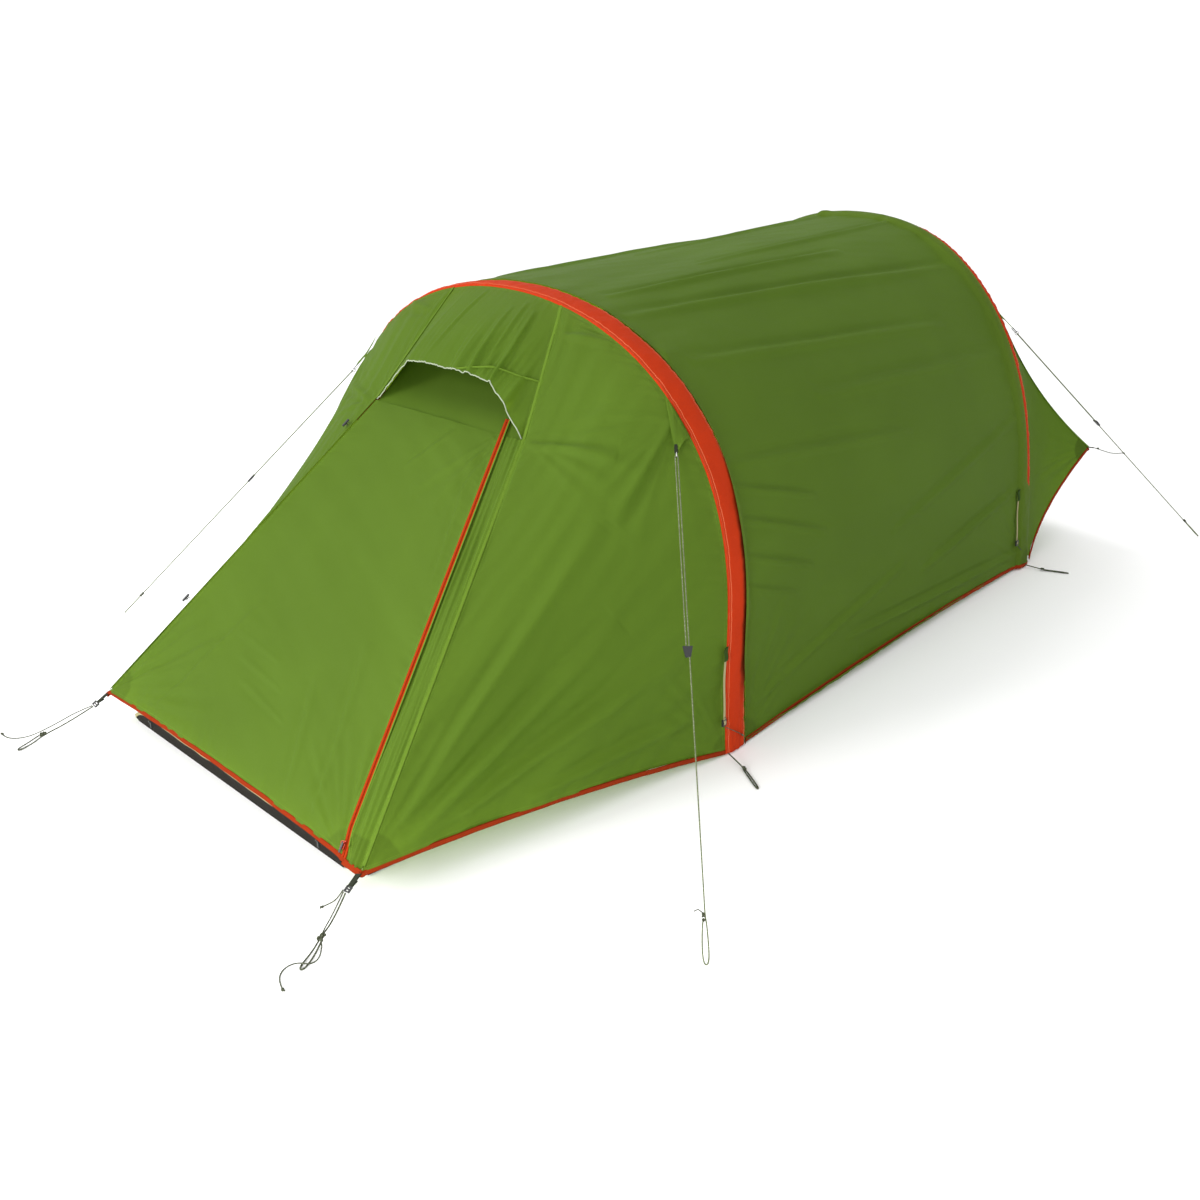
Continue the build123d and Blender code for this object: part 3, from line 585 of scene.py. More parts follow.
def make_cords():
    make_guy("guy_line_front_near", "front")
    make_guy("guy_line_front_far", "front", -1)
    make_guy("guy_line_rear_near", "rear")
    ring, d, s, length = guy_frame("rear")
    junction = ring + d * length * 0.5675 - s * STRAND
    start = REAR_CORNER + REAR_TAB_OUT * 0.020
    route = [start, lerp(start, junction, 0.3) + (0, 0, -0.005),
             lerp(start, junction, 0.66) + (0.002, -0.001, -0.009),
             lerp(start, junction, 0.965)]
    hitch = tie("corner_cord_hitch", (junction, d, 0.0036, 0.0014),
                (start + REAR_TAB_OUT * 0.012, REAR_TAB_OUT, 0.0034, 0.0013))
    cord("corner_cord_rear_near", route, CORNER_CORD_D, hitch)

    near_loop = [LOCK_END, *by_door((0.586, -0.084, 0.026), (0.597, -0.127, 0.011),
                                    (0.612, -0.156, 0.004), (0.632, -0.203, GROUND),
                                    (0.644, -0.198, GROUND), (0.624, -0.156, 0.0045),
                                    (0.606, -0.130, 0.011))]
    knots = tie("peg_cord_front_near_knot",
                (at_door(0.6005, -0.1285, 0.0125), (0.3, -0.9, -0.2), 0.0060, 0.0021),
                (at_door(0.598, -0.121, 0.015), (0.9, 0.3, 0.1), 0.0052, 0.0020))
    cord("peg_cord_front_near", near_loop, PEG_CORD_D, knots)
    near_tail = [LOCK_END + (-0.007, 0, 0), *by_door((0.576, -0.082, 0.028), (0.588, -0.109, 0.020),
                                                     (0.603, -0.129, 0.0175), (0.624, -0.141, 0.011),
                                                     (0.641, -0.160, 0.0045), (0.645, -0.181, 0.0066),
                                                     (0.621, -0.196, 0.0066), (0.610, -0.214, 0.0024),
                                                     (0.617, -0.235, 0.0015), (0.640, -0.250, 0.0015),
                                                     (0.662, -0.256, 0.0015))]
    knots = tie("peg_tail_front_near_knot", (near_tail[-1] + (0, 0, 0.002), (1, -0.3, 0), 0.0035, 0.0014))
    cord("peg_tail_front_near", near_tail, TAIL_D, knots)
    stub = [LOCK_END + (-0.012, 0.002, 0), *by_door((0.545, -0.046, 0.034), (0.529, -0.056, 0.018),
                                                    (0.514, -0.068, 0.008))]
    knots = tie("peg_stub_front_near_knot", (stub[-1], (0.6, 0.4, 0.5), 0.0036, 0.0015))
    cord("peg_stub_front_near", stub, TAIL_D, knots)

    far_end = LOCK_END * (-1, 1, 1)
    far_loop = [far_end, *by_door((-0.598, -0.105, 0.031), (-0.614, -0.170, 0.013),
                                  (-0.606, -0.205, 0.005), (-0.602, -0.239, GROUND),
                                  (-0.614, -0.241, GROUND), (-0.620, -0.206, 0.0055),
                                  (-0.623, -0.178, 0.012))]
    knots = tie("peg_cord_front_far_knot",
                (at_door(-0.6175, -0.172, 0.0145), (-0.3, -0.9, -0.2), 0.0060, 0.0021),
                (at_door(-0.615, -0.165, 0.017), (0.9, -0.3, 0.1), 0.0050, 0.0019))
    cord("peg_cord_front_far", far_loop, PEG_CORD_D, knots)
    far_tail = [far_end + (-0.006, 0, 0), *by_door((-0.603, -0.085, 0.048), (-0.613, -0.122, 0.034),
                                                   (-0.632, -0.163, 0.017), (-0.648, -0.195, 0.006),
                                                   (-0.672, -0.222, GROUND), (-0.698, -0.237, GROUND),
                                                   (-0.722, -0.236, GROUND))]
    knots = tie("peg_tail_front_far_knot", (far_tail[-1] + (0, 0, 0.0015), (1, 0, 0), 0.0035, 0.0014))
    cord("peg_tail_front_far", far_tail, TAIL_D, knots)

    make_foot_loop("foot_loop_front_near", at_door(0.767, 0.972, 0.014), at_door(0.830, 0.954, 0.004),
                   at_door(0.907, 0.909, GROUND))
    make_foot_loop("foot_loop_rear_near", at_door(0.748, 2.612, 0.012), at_door(0.806, 2.628, 0.004),
                   at_door(0.882, 2.661, GROUND))
    make_foot_cord("foot_cord_front_near", front)
    make_foot_cord("foot_cord_rear_near", rear)


def make_foot_loop(node, foot, knot, end):
    run = unit(end - knot)
    side = unit(np.cross(run, (0, 0, 1))) * LOOP_HALF
    middle = lerp(knot, end, 0.35)
    route = [foot, knot - side * 0.5, middle - side, end - side, end + side, middle + side,
             knot + side * 0.8 + run * 0.003]
    cord(node, route, PEG_CORD_D, tie(node + "_knot", (knot + (0, 0, 0.003), run, 0.0052, 0.0020)))


def make_foot_cord(node, curve):
    """From a foot strap's buckle round the outside of the sleeve."""
    p = curve(share_at(curve, 2, 0.060))
    start = np.array((p[0] + 0.012, p[1] - SLEEVE_W / 2 - 0.014, 0.0935))
    route = [start, p + (0.012, -0.036, 0.022), p + (0.010, -0.014, 0.006), p + (0.0105, 0.008, -0.010),
             p + (0.009, 0.022, -0.022)]
    cord(node, route, FOOT_CORD_D, tie(node + "_knot", (route[-1], (0, 0.5, -0.5), 0.0030, 0.0013)))


# ---------------------------------------------------------------- cloth
def grid(n, m):
    return np.meshgrid(np.linspace(0, 1, n), np.linspace(0, 1, m), indexing="ij")


def run_length(p, axis):
    """Metres run along one direction of a grid of points."""
    step = np.linalg.norm(np.diff(p, axis=axis), axis=2)
    pad = [(0, 0), (0, 0)]
    pad[axis] = (1, 0)
    return np.cumsum(np.pad(step, pad), axis=axis)


def spot(point, u, v):
    """One place on a panel's shape."""
    return point(np.array(u, float), np.array(v, float))


def mirrored(point):
    return lambda *uv: point(*uv) * (-1, 1, 1)


class Cloth:
    """A grid of cloth: its smooth shape, and the height of its folds along its outward normals."""

    def __init__(self, point, n, m, outward):
        self.u, self.v = grid(n, m)
        self.point, self.p = point, point(self.u, self.v)
        self.a, self.b = run_length(self.p, 0), run_length(self.p, 1)
        self.a_left, self.b_left = self.a[-1:] - self.a, self.b[:, -1:] - self.b
        normal = unit(np.cross(np.gradient(self.p, axis=0), np.gradient(self.p, axis=1)) + 1e-12)
        self.flip = normal[n // 2, m // 2] @ np.array(outward) < 0
        self.normal = -normal if self.flip else normal
        self.lift, self.patch = np.zeros((n, m)), np.zeros((n, m))

    def at(self, u, v):
        return spot(self.point, u, v)

    def area(self):
        p = self.p
        a, b = p[1:, :-1] - p[:-1, :-1], p[:-1, 1:] - p[:-1, :-1]
        return float(np.linalg.norm(np.cross(a, b), axis=2).sum())

    def folds(self, length, width, height, seed, turn=0.0, where=1.0):
        """Soft folds, long one way and short the other, turned from the first direction."""
        c, s = math.cos(turn), math.sin(turn)
        x, y = self.a * c + self.b * s, self.b * c - self.a * s
        self.lift += height * where * noise(x / length + 7.3 * seed % 40, y / width + 3.1, seed)

    def crease(self, start, end, width, height, flare=0.0):
        """A ridge with a valley beside it, from one point to another, fading at both ends."""
        start, end = np.array(start, float), np.array(end, float)
        run = end - start
        d = self.p - start
        t = d @ run / (run @ run)
        off = d - t[..., None] * run
        side = (off * unit(np.cross(self.normal, run))).sum(-1)
        wide = width * (1 + flare * np.clip(t, 0, 1))
        x = side / wide
        shape = np.exp(-x * x) - 0.6 * np.exp(-(x - 1.7) ** 2)
        near = np.exp(-(((off * self.normal).sum(-1)) / 0.12) ** 2)
        self.lift += height * shape * near * np.sqrt(np.clip(4 * t * (1 - t), 0, 1))

    def creases(self, table, relief=1.0, flare=0.0):
        for u0, v0, u1, v1, width, height in table:
            self.crease(self.at(u0, v0), self.at(u1, v1), width, height * relief, flare)

    def darken(self, at, strength, start, stop):
        """The reinforcing piece about a corner: a darker round of cloth."""
        self.patch = np.maximum(self.patch, strength * (1 - ramp(away_from(self.p, at), start, stop)))

    def fan(self, anchor, towards, spread, count, length, width, height, seed):
        """Creases that spread from a pulled point."""
        rng = np.random.RandomState(seed)
        anchor = np.array(anchor, float)
        at = np.unravel_index(np.argmin(away_from(self.p, anchor)), self.u.shape)
        normal = self.normal[at]
        ahead = unit(np.array(towards) - anchor)
        ahead = unit(ahead - normal * (ahead @ normal))
        across = np.cross(normal, ahead)
        for k in range(count):
            angle = spread * ((k + 0.5) / count - 0.5) + rng.uniform(-0.06, 0.06)
            d = ahead * math.cos(angle) + across * math.sin(angle)
            self.crease(anchor + d * 0.012, anchor + d * length * rng.uniform(0.55, 1.1),
                        width * rng.uniform(0.7, 1.2), height * rng.uniform(0.6, 1.2), flare=2.5)

    def pucker(self, distance, along, length, height, reach, seed):
        """Short gathers beside a seam."""
        self.lift += height * noise(along / length, along * 0.7 + 0.5, seed) * np.exp(-distance / reach)

    def hold(self, *edges, reach=0.03):
        """Folds die out at these edges, so that panels meet."""
        for distance in edges:
            self.lift *= ramp(distance, -0.001, reach)

    def piece(self, name, material, slot, node, held="stretched", rests_on=(), body="tent", seams=None,
              cut=None):
        """The finished panel. Its cut size is measured, or given where the grid doesn't run along the cloth."""
        surface = self.p + self.normal * self.lift[..., None]
        seam = np.full(self.u.shape, 0.5) if seams is None else np.minimum.reduce(seams)
        cloth = xyz(self.a, self.b, seam).reshape(-1, 3)
        quads = sheet_quads(*self.u.shape)
        made = add_mesh(name, surface.reshape(-1, 3), quads[:, ::-1] if self.flip else quads, material, slot,
                        [node], body, {"cloth": cloth, "patch": self.patch.ravel()})
        width, length = cut or (float(self.a[-1].max()), float(self.b[:, -1].max()))
        flat = (round(width, 3), round(length if cut else min(length, 2 * self.area() / width), 3))
        area = round(min(self.area(), flat[0] * flat[1]), 4)
        return surface


def ribbon_arrays(path, side, width, thick):
    """A flat tape along a path: points, faces, and its metres along, across and from its edge."""
    path = np.asarray(path, float)
    tangent = unit(np.gradient(path, axis=0))
    side = np.broadcast_to(np.asarray(side, float), path.shape)
    normal = unit(np.cross(tangent, side))
    side = np.cross(normal, tangent)
    top = np.array([-1, -0.92, -0.6, -0.3, 0, 0.3, 0.6, 0.92])
    x = np.concatenate([top, [1], -top[:0:-1]])
    crown = np.array([0.75, 0.97, 1, 1, 1, 0.97, 0.75])
    y = np.concatenate([[0], crown, [0], -crown])
    width = np.broadcast_to(width, len(path))[:, None, None]
    thick = np.broadcast_to(thick, len(path))[:, None, None]
    points = path[:, None] + side[:, None] * x[None, :, None] * width / 2
    points = points + normal[:, None] * y[None, :, None] * thick / 2
    run = metres_along(path)
    s = np.broadcast_to(run[:, None], points.shape[:2])
    across = np.broadcast_to(x * width[:, 0] / 2, points.shape[:2])
    edge = np.broadcast_to((1 - abs(x)) * width[:, 0] / 2, points.shape[:2])
    cloth = xyz(s, across, edge).reshape(-1, 3)
    n, m = points.shape[:2]
    quads = sheet_quads(n, m, wrap=True)
    caps = [(k, k + 1, m - k - 1, (m - k) % m) for k in range(m // 2)]
    caps += [tuple((n - 1) * m + i for i in c[::-1]) for c in caps]
    return points.reshape(-1, 3), np.concatenate([quads, np.array(caps)]), cloth


def ribbons(name, runs, material, slot, nodes=(), body="tent"):
    """One piece from several tapes: (path, side, width, thickness)."""
    parts = [ribbon_arrays(*run) for run in runs]
    points, quads = merged([(p, q) for p, q, _ in parts])
    add_mesh(name, points, quads, material, slot, nodes, body,
             {"cloth": np.concatenate([c for _, _, c in parts])})


def flipped(runs):
    """The same tapes on the other side of the tent."""
    return [(np.asarray(path) * (-1, 1, 1), np.asarray(side) * (-1, 1, 1), *rest) for path, side,
            *rest in runs]


# ---------------------------------------------------------------- the flysheet's shapes
EDGE = SLEEVE_W / 2 - 0.001            # from an arch's plane to where the fabric meets the sleeve
HOOD_U = share_at(front, 0, HOOD_ARCH_X)
RIDGE_U = 0.27
HEM_FOOT, HEM_RISE, PORCH_BULGE = 0.015, 0.020, 0.024
ARCH_END = front(HOOD_U) * (1, 0, 1) + (0, FRONT_Y - EDGE, -0.001)
SEAM_SHARE = 0.72
LIP_SHARE, LIP_CORNER_X, LIP_Z = 0.60, 0.178, 0.918


def sleeve_crown(offset):
    """How far cloth lying over a beam sleeve stands out, by its distance from the arch's plane."""
    inside = np.clip(1 - (offset / (SLEEVE_W / 2)) ** 2, 0, 1) ** 0.35
    return 0.0100 * inside + 0.0030 * (1 - ramp(abs(offset), SLEEVE_W / 2 - 0.004, SLEEVE_W / 2 + 0.004))


def arch_out(u):
    """The outward direction of the front arch at a share of its length."""
    t = front(np.clip(u + 0.002, 0, 1)) - front(np.clip(u - 0.002, 0, 1))
    return unit(xyz(t[..., 2], 0, -t[..., 0]))


def canopy_point(u, v):
    a, b = front(u), rear(u)
    z = a[..., 2]
    lap = 0.017 * ramp(z, 0.10, 0.30) * (1 - ramp(z, 0.60, 0.85))
    tuck = 0.034 * (1 - ramp(b[..., 2], 0.26, 0.31))
    start, stop = a[..., 1] + EDGE - lap, b[..., 1] + tuck
    y = start + (stop - start) * v
    p = lerp(a, b, (y - a[..., 1]) / (b[..., 1] - a[..., 1]))
    over = sleeve_crown(y - REAR_Y) + sleeve_crown(y - FRONT_Y)
    p = p + arch_out(u) * over[..., None]
    low = HEM_FOOT * (1 - np.sin(np.pi * np.clip(u, 0, 1)) ** 0.25)
    rise = HEM_RISE * bow(v) * np.cos(np.pi * u) ** 6
    slack = 0.010 * bow(v) * np.sin(np.pi * u) ** 2
    return xyz(p[..., 0], y, np.maximum(p[..., 2], low) + rise - slack)


def seam_point(u):
    low = CORNER + (APEX - CORNER) * np.clip(u / SEAM_SHARE, 0, 1)[..., None]
    high = APEX + (ARCH_END - APEX) * np.clip((u - SEAM_SHARE) / (1 - SEAM_SHARE), 0, 1)[..., None]
    return np.where((u < SEAM_SHARE)[..., None], low, high)


def porch_point(u, v):
    s = seam_point(u)
    a = front(0.004 + (HOOD_U - 0.004) * u)
    a = xyz(a[..., 0], FRONT_Y - EDGE, np.maximum(a[..., 2], HEM_FOOT))
    p = lerp(s, a, v)
    bulge = PORCH_BULGE * bow(v) * bow(np.minimum(1, 0.15 + 0.85 * u))
    rise = HEM_RISE * bow(v) * (1 - u) ** 2
    return p + xyz(0.6 * bulge, -0.35 * bulge, 0.6 * bulge + rise)


def on_door(side, along, across):
    sign = 1 if side == "near" else -1
    along, across = np.broadcast_arrays(np.asarray(along, float), np.asarray(across, float))
    base = CORNER * (sign, 1, 1) + (SIDE * (sign, 1, 1)) * along[..., None]
    return base + xyz(-sign * across, 0, 0)


def zip_shift(along):
    """The zip bends towards the corner at its foot."""
    return -0.012 * (1 - ramp(along, 0.0, 0.075))


DOOR_TOP = SEAM_LENGTH - 0.006
HEM_ARCH = 0.012               # the door's hem is pulled up between its corners


def door_point(u, v):
    along = 0.002 + HEM_ARCH * np.clip(bow(v), 0, 1) ** 0.5 * (1 - u) ** 3 + (DOOR_TOP - 0.002) * u
    near = on_door("near", along, STRIP_W + ZIP_W + zip_shift(along) - 0.001)
    far = on_door("far", along, 0.003)
    p = lerp(near, far, v)
    return p - DOOR_OUT * (0.012 * bow(u) * bow(v) ** 0.8)[..., None]


def jamb_point(u, v):
    along = 0.002 + (DOOR_TOP - 0.002) * u
    across = 0.001 + (STRIP_W + zip_shift(along)) * v
    return on_door("near", along, across) + DOOR_OUT * (0.0025 * bow(v))[..., None]


def hood_point(u, v):
    c = 1 - 2 * u
    a = front(HOOD_U + (1 - 2 * HOOD_U) * u)
    a = xyz(a[..., 0], FRONT_Y - EDGE, a[..., 2] - 0.001)
    level = abs(c) / LIP_SHARE
    slope = np.clip((abs(c) - LIP_SHARE) / (1 - LIP_SHARE), 0, 1)
    corner = np.where(c > 0, LIP_CORNER_X, LIP_CORNER_X - 0.034)
    x = np.where(level < 1, corner * level, corner + (APEX[0] - corner) * slope) * np.sign(c)
    z = LIP_Z - (LIP_Z - HOOD_Z) * slope - 0.006 * ramp(abs(c), 0.3, LIP_SHARE)
    lip = xyz(x, HOOD_Y, np.maximum(z, HOOD_Z))
    p = lerp(a, lip, v)
    puff = 0.012 * bow(v) * (1 - abs(c) ** 3)
    return p + xyz(0, -0.5 * puff, 0.85 * puff)


def baffle_point(u, v):
    """Three rows of the curtain behind the vent's mouth: on the door, above it, and under the front beam."""
    c = 1 - 2 * u

    def row(half, along, back):
        at = on_door("near", along, 0.0) - DOOR_OUT * back
        return xyz(half * c, at[1], at[2])

    low, middle = row(0.288, DOOR_TOP - 0.012, 0.004), row(0.272, DOOR_TOP + 0.085, 0.006)
    high = xyz(0.262 * c, FRONT_Y - 0.048, 0.985)
    return lerp(lerp(low, middle, v), lerp(middle, high, v), v)


def rear_arch_point(u):
    a = rear(u)
    return xyz(a[..., 0], REAR_Y + EDGE, a[..., 2])


REAR_FOOT = np.array((0.738, REAR_Y + 0.054, 0.014))


def rear_side_hem(u):
    p = lerp(REAR_FOOT, REAR_CORNER, u)
    return p + xyz(-0.030 * bow(u), -0.008 * bow(u), -0.014 * bow(u))


RIDGE_SAG = np.array((-0.014, -0.016, -0.014))
END_SAG = np.array((0, -0.030, -0.026))


def rear_side_point(u, v):
    a = rear_arch_point(0.012 + (RIDGE_U - 0.012) * u)
    return lerp(a, rear_side_hem(0.03 + 0.97 * u), v) + RIDGE_SAG * (bow(v) * u)[..., None]


def rear_hem_point(u):
    c = 1 - 2 * u
    k = abs(c) ** 2.2
    return xyz(REAR_CORNER[0] * c, REAR_END_Y + (REAR_CORNER[1] - REAR_END_Y) * k,
               0.034 + (REAR_CORNER[2] - 0.034) * k)


def rear_end_point(u, v):
    a = rear_arch_point(RIDGE_U + (1 - 2 * RIDGE_U) * u)
    side = 1 - 2 * u
    ridge = xyz(RIDGE_SAG[0] * side, RIDGE_SAG[1] + 0 * side, RIDGE_SAG[2] + 0 * side)
    sag = END_SAG * (1 - side ** 2)[..., None] + ridge * (side ** 2)[..., None]
    return lerp(a, rear_hem_point(u), v) + sag * bow(v)[..., None]


# ---------------------------------------------------------------- flysheet panels
def make_canopy():
    c = Cloth(canopy_point, 441, 221, (0, 0, 1))
    both = np.minimum(c.b, c.b_left)
    foot = np.minimum(c.a, c.a_left)
    c.folds(0.34, 1.9, 0.0085, 11)
    c.folds(0.20, 1.1, 0.0055, 12, turn=0.10)
    c.folds(0.085, 0.60, 0.0034, 13, turn=-0.08, where=0.4 + 0.6 * ramp(foot, 0.2, 0.9))
    c.folds(0.040, 0.16, 0.0008, 14, turn=0.3)
    c.pucker(both, c.a, 0.022, 0.0028, 0.035, 15)
    c.pucker(both, c.a, 0.060, 0.0060, 0.11, 16)
    c.pucker(foot, c.b, 0.030, 0.0022, 0.04, 17)
    for mirror in (1, -1):
        turned = (lambda u: u) if mirror > 0 else (lambda u: 1 - u)
        c.creases([(turned(u0), v0, turned(u1), *rest) for u0, v0, u1, *rest in CANOPY_CREASES],
                  CANOPY_RELIEF)
        foot_u, towards_u = turned(0.0), turned(0.16)
        c.fan(c.at(foot_u, 0.0), c.at(towards_u, 0.30), 1.3, 7, 0.42, 0.006, 0.0030, 18 + mirror)
        c.fan(c.at(foot_u, 1.0), c.at(towards_u, 0.70), 1.3, 7, 0.42, 0.006, 0.0032, 21 + mirror)
    c.hold(c.b, c.b_left, reach=0.018)
    for arch_y in (FRONT_Y, REAR_Y):
        over_sleeve = 1 - ramp(abs(c.p[..., 1] - arch_y), SLEEVE_W / 2, SLEEVE_W / 2 + 0.020)
        c.lift = np.where(c.lift < 0, c.lift * (1 - over_sleeve), c.lift)
    c.patch = 0.45 * (1 - ramp(np.minimum(np.hypot(foot, c.b), np.hypot(foot, c.b_left)), 0.060, 0.066))
    c.piece("fly_main_canopy_cloth", FLY, "fly_fabric", "fly_main_canopy",
            rests_on=["beam_sleeve_front", "beam_sleeve_rear"], seams=[both, foot])


CANOPY_RELIEF = 2.4
# start and end on the canopy as shares round the arch and along the tent, then width and height
CANOPY_CREASES = [
    (0.395, 0.02, 0.36, 0.97, 0.016, 0.0060), (0.43, 0.05, 0.42, 0.70, 0.012, 0.0050),
    (0.33, 0.05, 0.30, 0.80, 0.014, 0.0045), (0.46, 0.35, 0.455, 0.99, 0.012, 0.0040),
    (0.24, 0.02, 0.21, 0.55, 0.012, 0.0035), (0.27, 0.30, 0.25, 0.98, 0.016, 0.0040),
    (0.20, 0.0, 0.155, 0.24, 0.007, 0.0032), (0.17, 0.0, 0.13, 0.20, 0.006, 0.0030),
    (0.225, 0.0, 0.19, 0.22, 0.007, 0.0030), (0.145, 0.0, 0.11, 0.16, 0.006, 0.0026),
    (0.035, 0.30, 0.020, 0.97, 0.010, 0.0045), (0.06, 0.55, 0.10, 0.98, 0.010, 0.0036),
    (0.12, 0.45, 0.18, 0.99, 0.012, 0.0030), (0.03, 0.03, 0.08, 0.50, 0.010, 0.0030),
]


def make_porch_side(name, mirror):
    point = porch_point if mirror > 0 else mirrored(porch_point)
    c = Cloth(point, 261, 201, (mirror, -0.3, 0.4))
    seed = 30 if mirror > 0 else 50
    gusset_u = (share_at(front, 2, 0.850) - 0.004) / (HOOD_U - 0.004)
    gusset, corner, foot = c.at(gusset_u, 0.97), c.at(0.0, 0.0), c.at(0.0, 1.0)
    pull = 1 - ramp(c.a, 0.1, 0.9)
    c.folds(0.75, 0.16, 0.0095, seed, turn=0.45, where=0.45 + 0.55 * pull)
    c.folds(0.35, 0.075, 0.0046, seed + 1, turn=0.60)
    c.folds(0.16, 0.040, 0.0010, seed + 2, turn=0.3)
    c.pucker(c.b, c.a, 0.020, 0.0024, 0.030, seed + 3)
    c.pucker(c.b_left, c.a, 0.024, 0.0034, 0.045, seed + 4)
    c.pucker(c.a, c.b, 0.030, 0.0024, 0.040, seed + 5)
    c.creases(PORCH_CREASES, relief=2.2, flare=1.2)
    c.fan(corner, c.at(0.35, 0.75), 1.25, 9, 0.50, 0.005, 0.0040, seed + 6)
    c.fan(foot, c.at(0.30, 0.35), 1.1, 6, 0.34, 0.005, 0.0026, seed + 7)
    c.fan(gusset, c.at(0.60, 0.45), 1.5, 7, 0.30, 0.005, 0.0028, seed + 8)
    c.fan(c.at(SEAM_SHARE, 0.0), c.at(0.55, 0.9), 1.3, 6, 0.30, 0.005, 0.0024, seed + 9)
    c.hold(c.b, c.b_left, reach=0.016)
    c.darken(corner, 0.45, 0.085, 0.090)
    c.darken(foot, 0.35, 0.045, 0.050)
    c.piece(name + "_cloth", FLY, "fly_fabric", name, rests_on=["beam_sleeve_front"],
            seams=[c.b, c.b_left, c.a])


PORCH_CREASES = [
    (0.02, 0.10, 0.30, 0.62, 0.012, 0.0075), (0.03, 0.22, 0.22, 0.85, 0.012, 0.0065),
    (0.06, 0.06, 0.50, 0.50, 0.010, 0.0045), (0.02, 0.40, 0.10, 0.97, 0.010, 0.0045),
    (0.66, 0.95, 0.50, 0.55, 0.008, 0.0035), (0.92, 0.30, 0.85, 0.95, 0.008, 0.0030),
    (0.70, 0.05, 0.62, 0.60, 0.008, 0.0035),
]


def make_door():
    c = Cloth(door_point, 241, 241, DOOR_OUT)
    c.folds(0.55, 0.13, 0.0035, 70, turn=1.25)
    c.folds(0.30, 0.060, 0.0018, 71, turn=1.1)
    c.folds(0.12, 0.030, 0.0011, 72, turn=1.45, where=ramp(noise(c.a * 3, c.b * 3, 79), -0.1, 0.5))
    c.pucker(c.b, c.a, 0.018, 0.0022, 0.030, 73)
    c.pucker(c.b_left, c.a, 0.020, 0.0020, 0.028, 74)
    c.pucker(c.a, c.b, 0.034, 0.0034, 0.045, 75)
    far_corner, near_corner, middle = c.at(0.0, 1.0), c.at(0.0, 0.0), c.at(0.5, 0.35)
    c.fan(far_corner, c.at(0.4, 0.55), 1.35, 8, 0.40, 0.005, 0.0036, 76)
    c.fan(near_corner, middle, 1.2, 8, 0.36, 0.005, 0.0036, 77)
    c.fan(c.at(1.0, 0.0), middle, 1.0, 5, 0.30, 0.005, 0.0026, 78)
    c.creases(DOOR_CREASES, flare=0.8)
    c.hold(c.b, c.b_left, reach=0.014)
    c.darken(far_corner, 0.45, 0.080, 0.085)
    c.darken(near_corner, 0.4, 0.060, 0.066)
    # painted shade: the door darkens over the top seventh of its height towards its top edge, as under the vent
    # hood's shadow
    c.patch = np.maximum(c.patch, 0.16 * ramp(c.u, 0.86, 1.0))
    c.piece("door_panel_cloth", FLY, "fly_fabric", "door_panel", body="door",
            rests_on=["vent_hood"], seams=[c.b, c.b_left, c.a])


DOOR_CREASES = [
    (0.02, 0.12, 0.42, 0.20, 0.009, 0.0040), (0.02, 0.22, 0.30, 0.34, 0.009, 0.0035),
    (0.03, 0.80, 0.40, 0.72, 0.008, 0.0030), (0.16, 0.35, 0.20, 0.60, 0.005, 0.0022),
    (0.22, 0.42, 0.25, 0.66, 0.005, 0.0020), (0.28, 0.50, 0.30, 0.74, 0.005, 0.0018),
    (0.60, 0.05, 0.95, 0.10, 0.008, 0.0030), (0.85, 0.50, 0.98, 0.30, 0.006, 0.0024),
]


def make_jamb():
    c = Cloth(jamb_point, 281, 29, DOOR_OUT)
    c.lift += 0.0060 * noise(c.b / 0.014, c.a / 0.55, 81) + 0.0034 * noise(c.b / 0.007, c.a / 0.30, 82)
    c.lift -= 0.0040 * np.exp(-((c.b_left - 0.005) / 0.004) ** 2) * ramp(c.u, 0.25, 0.5)
    c.pucker(c.a, c.b, 0.010, 0.0025, 0.05, 83)
    c.hold(c.b, c.b_left, reach=0.004)
    c.patch = 0.45 * (1 - ramp(c.a, 0.060, 0.064))
    c.piece("door_jamb_strip_cloth", FLY, "fly_fabric", "door_jamb_strip", rests_on=["vent_hood"],
            seams=[c.b, c.b_left])


def make_hood():
    c = Cloth(hood_point, 261, 81, (0, -0.5, 1))
    right = ramp(c.p[..., 0], -0.08, 0.16)
    open_end = ramp(c.v, 0.12, 0.95)
    c.lift += open_end * (0.0120 * right + 0.0030) * noise(c.p[..., 0] / 0.034, c.v * 0.9, 91)
    c.lift += open_end * (0.0060 * right + 0.0014) * noise(c.p[..., 0] / 0.015, c.v * 1.4, 92)
    c.lift += 0.0022 * np.exp(-c.b / 0.03) * noise(c.p[..., 0] / 0.016, c.v, 93)
    c.creases([(0.16, 0.15, 0.20, 0.98, 0.007, 0.0055), (0.24, 0.10, 0.27, 0.98, 0.007, 0.0045),
               (0.32, 0.20, 0.33, 1.0, 0.006, 0.0035), (0.62, 0.05, 0.66, 0.90, 0.006, 0.0030)])
    c.hold(c.b, np.minimum(c.a, c.a_left), reach=0.010)
    # painted shadow: a narrow dark band along the hood's near side edge, fading in a little way out from the
    # arch
    c.patch = 0.75 * np.exp(-(c.a / 0.009) ** 2) * ramp(c.v, 0.05, 0.25)
    hood = c.piece("vent_hood_cloth", FLY, "fly_fabric", "vent_hood", rests_on=["beam_sleeve_front"],
                   seams=[c.b, np.minimum(c.a, c.a_left)])
    lip = hood[:, -1]
    step, zero = np.arange(len(lip)), np.zeros(len(lip))
    wave = noise(step / 5.0, zero, 94) + 0.5 * noise(step / 2.2, zero, 97)
    wave *= 0.0036 * ramp(-lip[:, 0], -0.19, -0.12)
    path = lip + xyz(0, -0.0005 + 0.3 * wave, wave - 0.0012)
    add_mesh("vent_hood_piping", *tube_arrays(path, 0.0015, 8), PIPING, "fly_fabric")


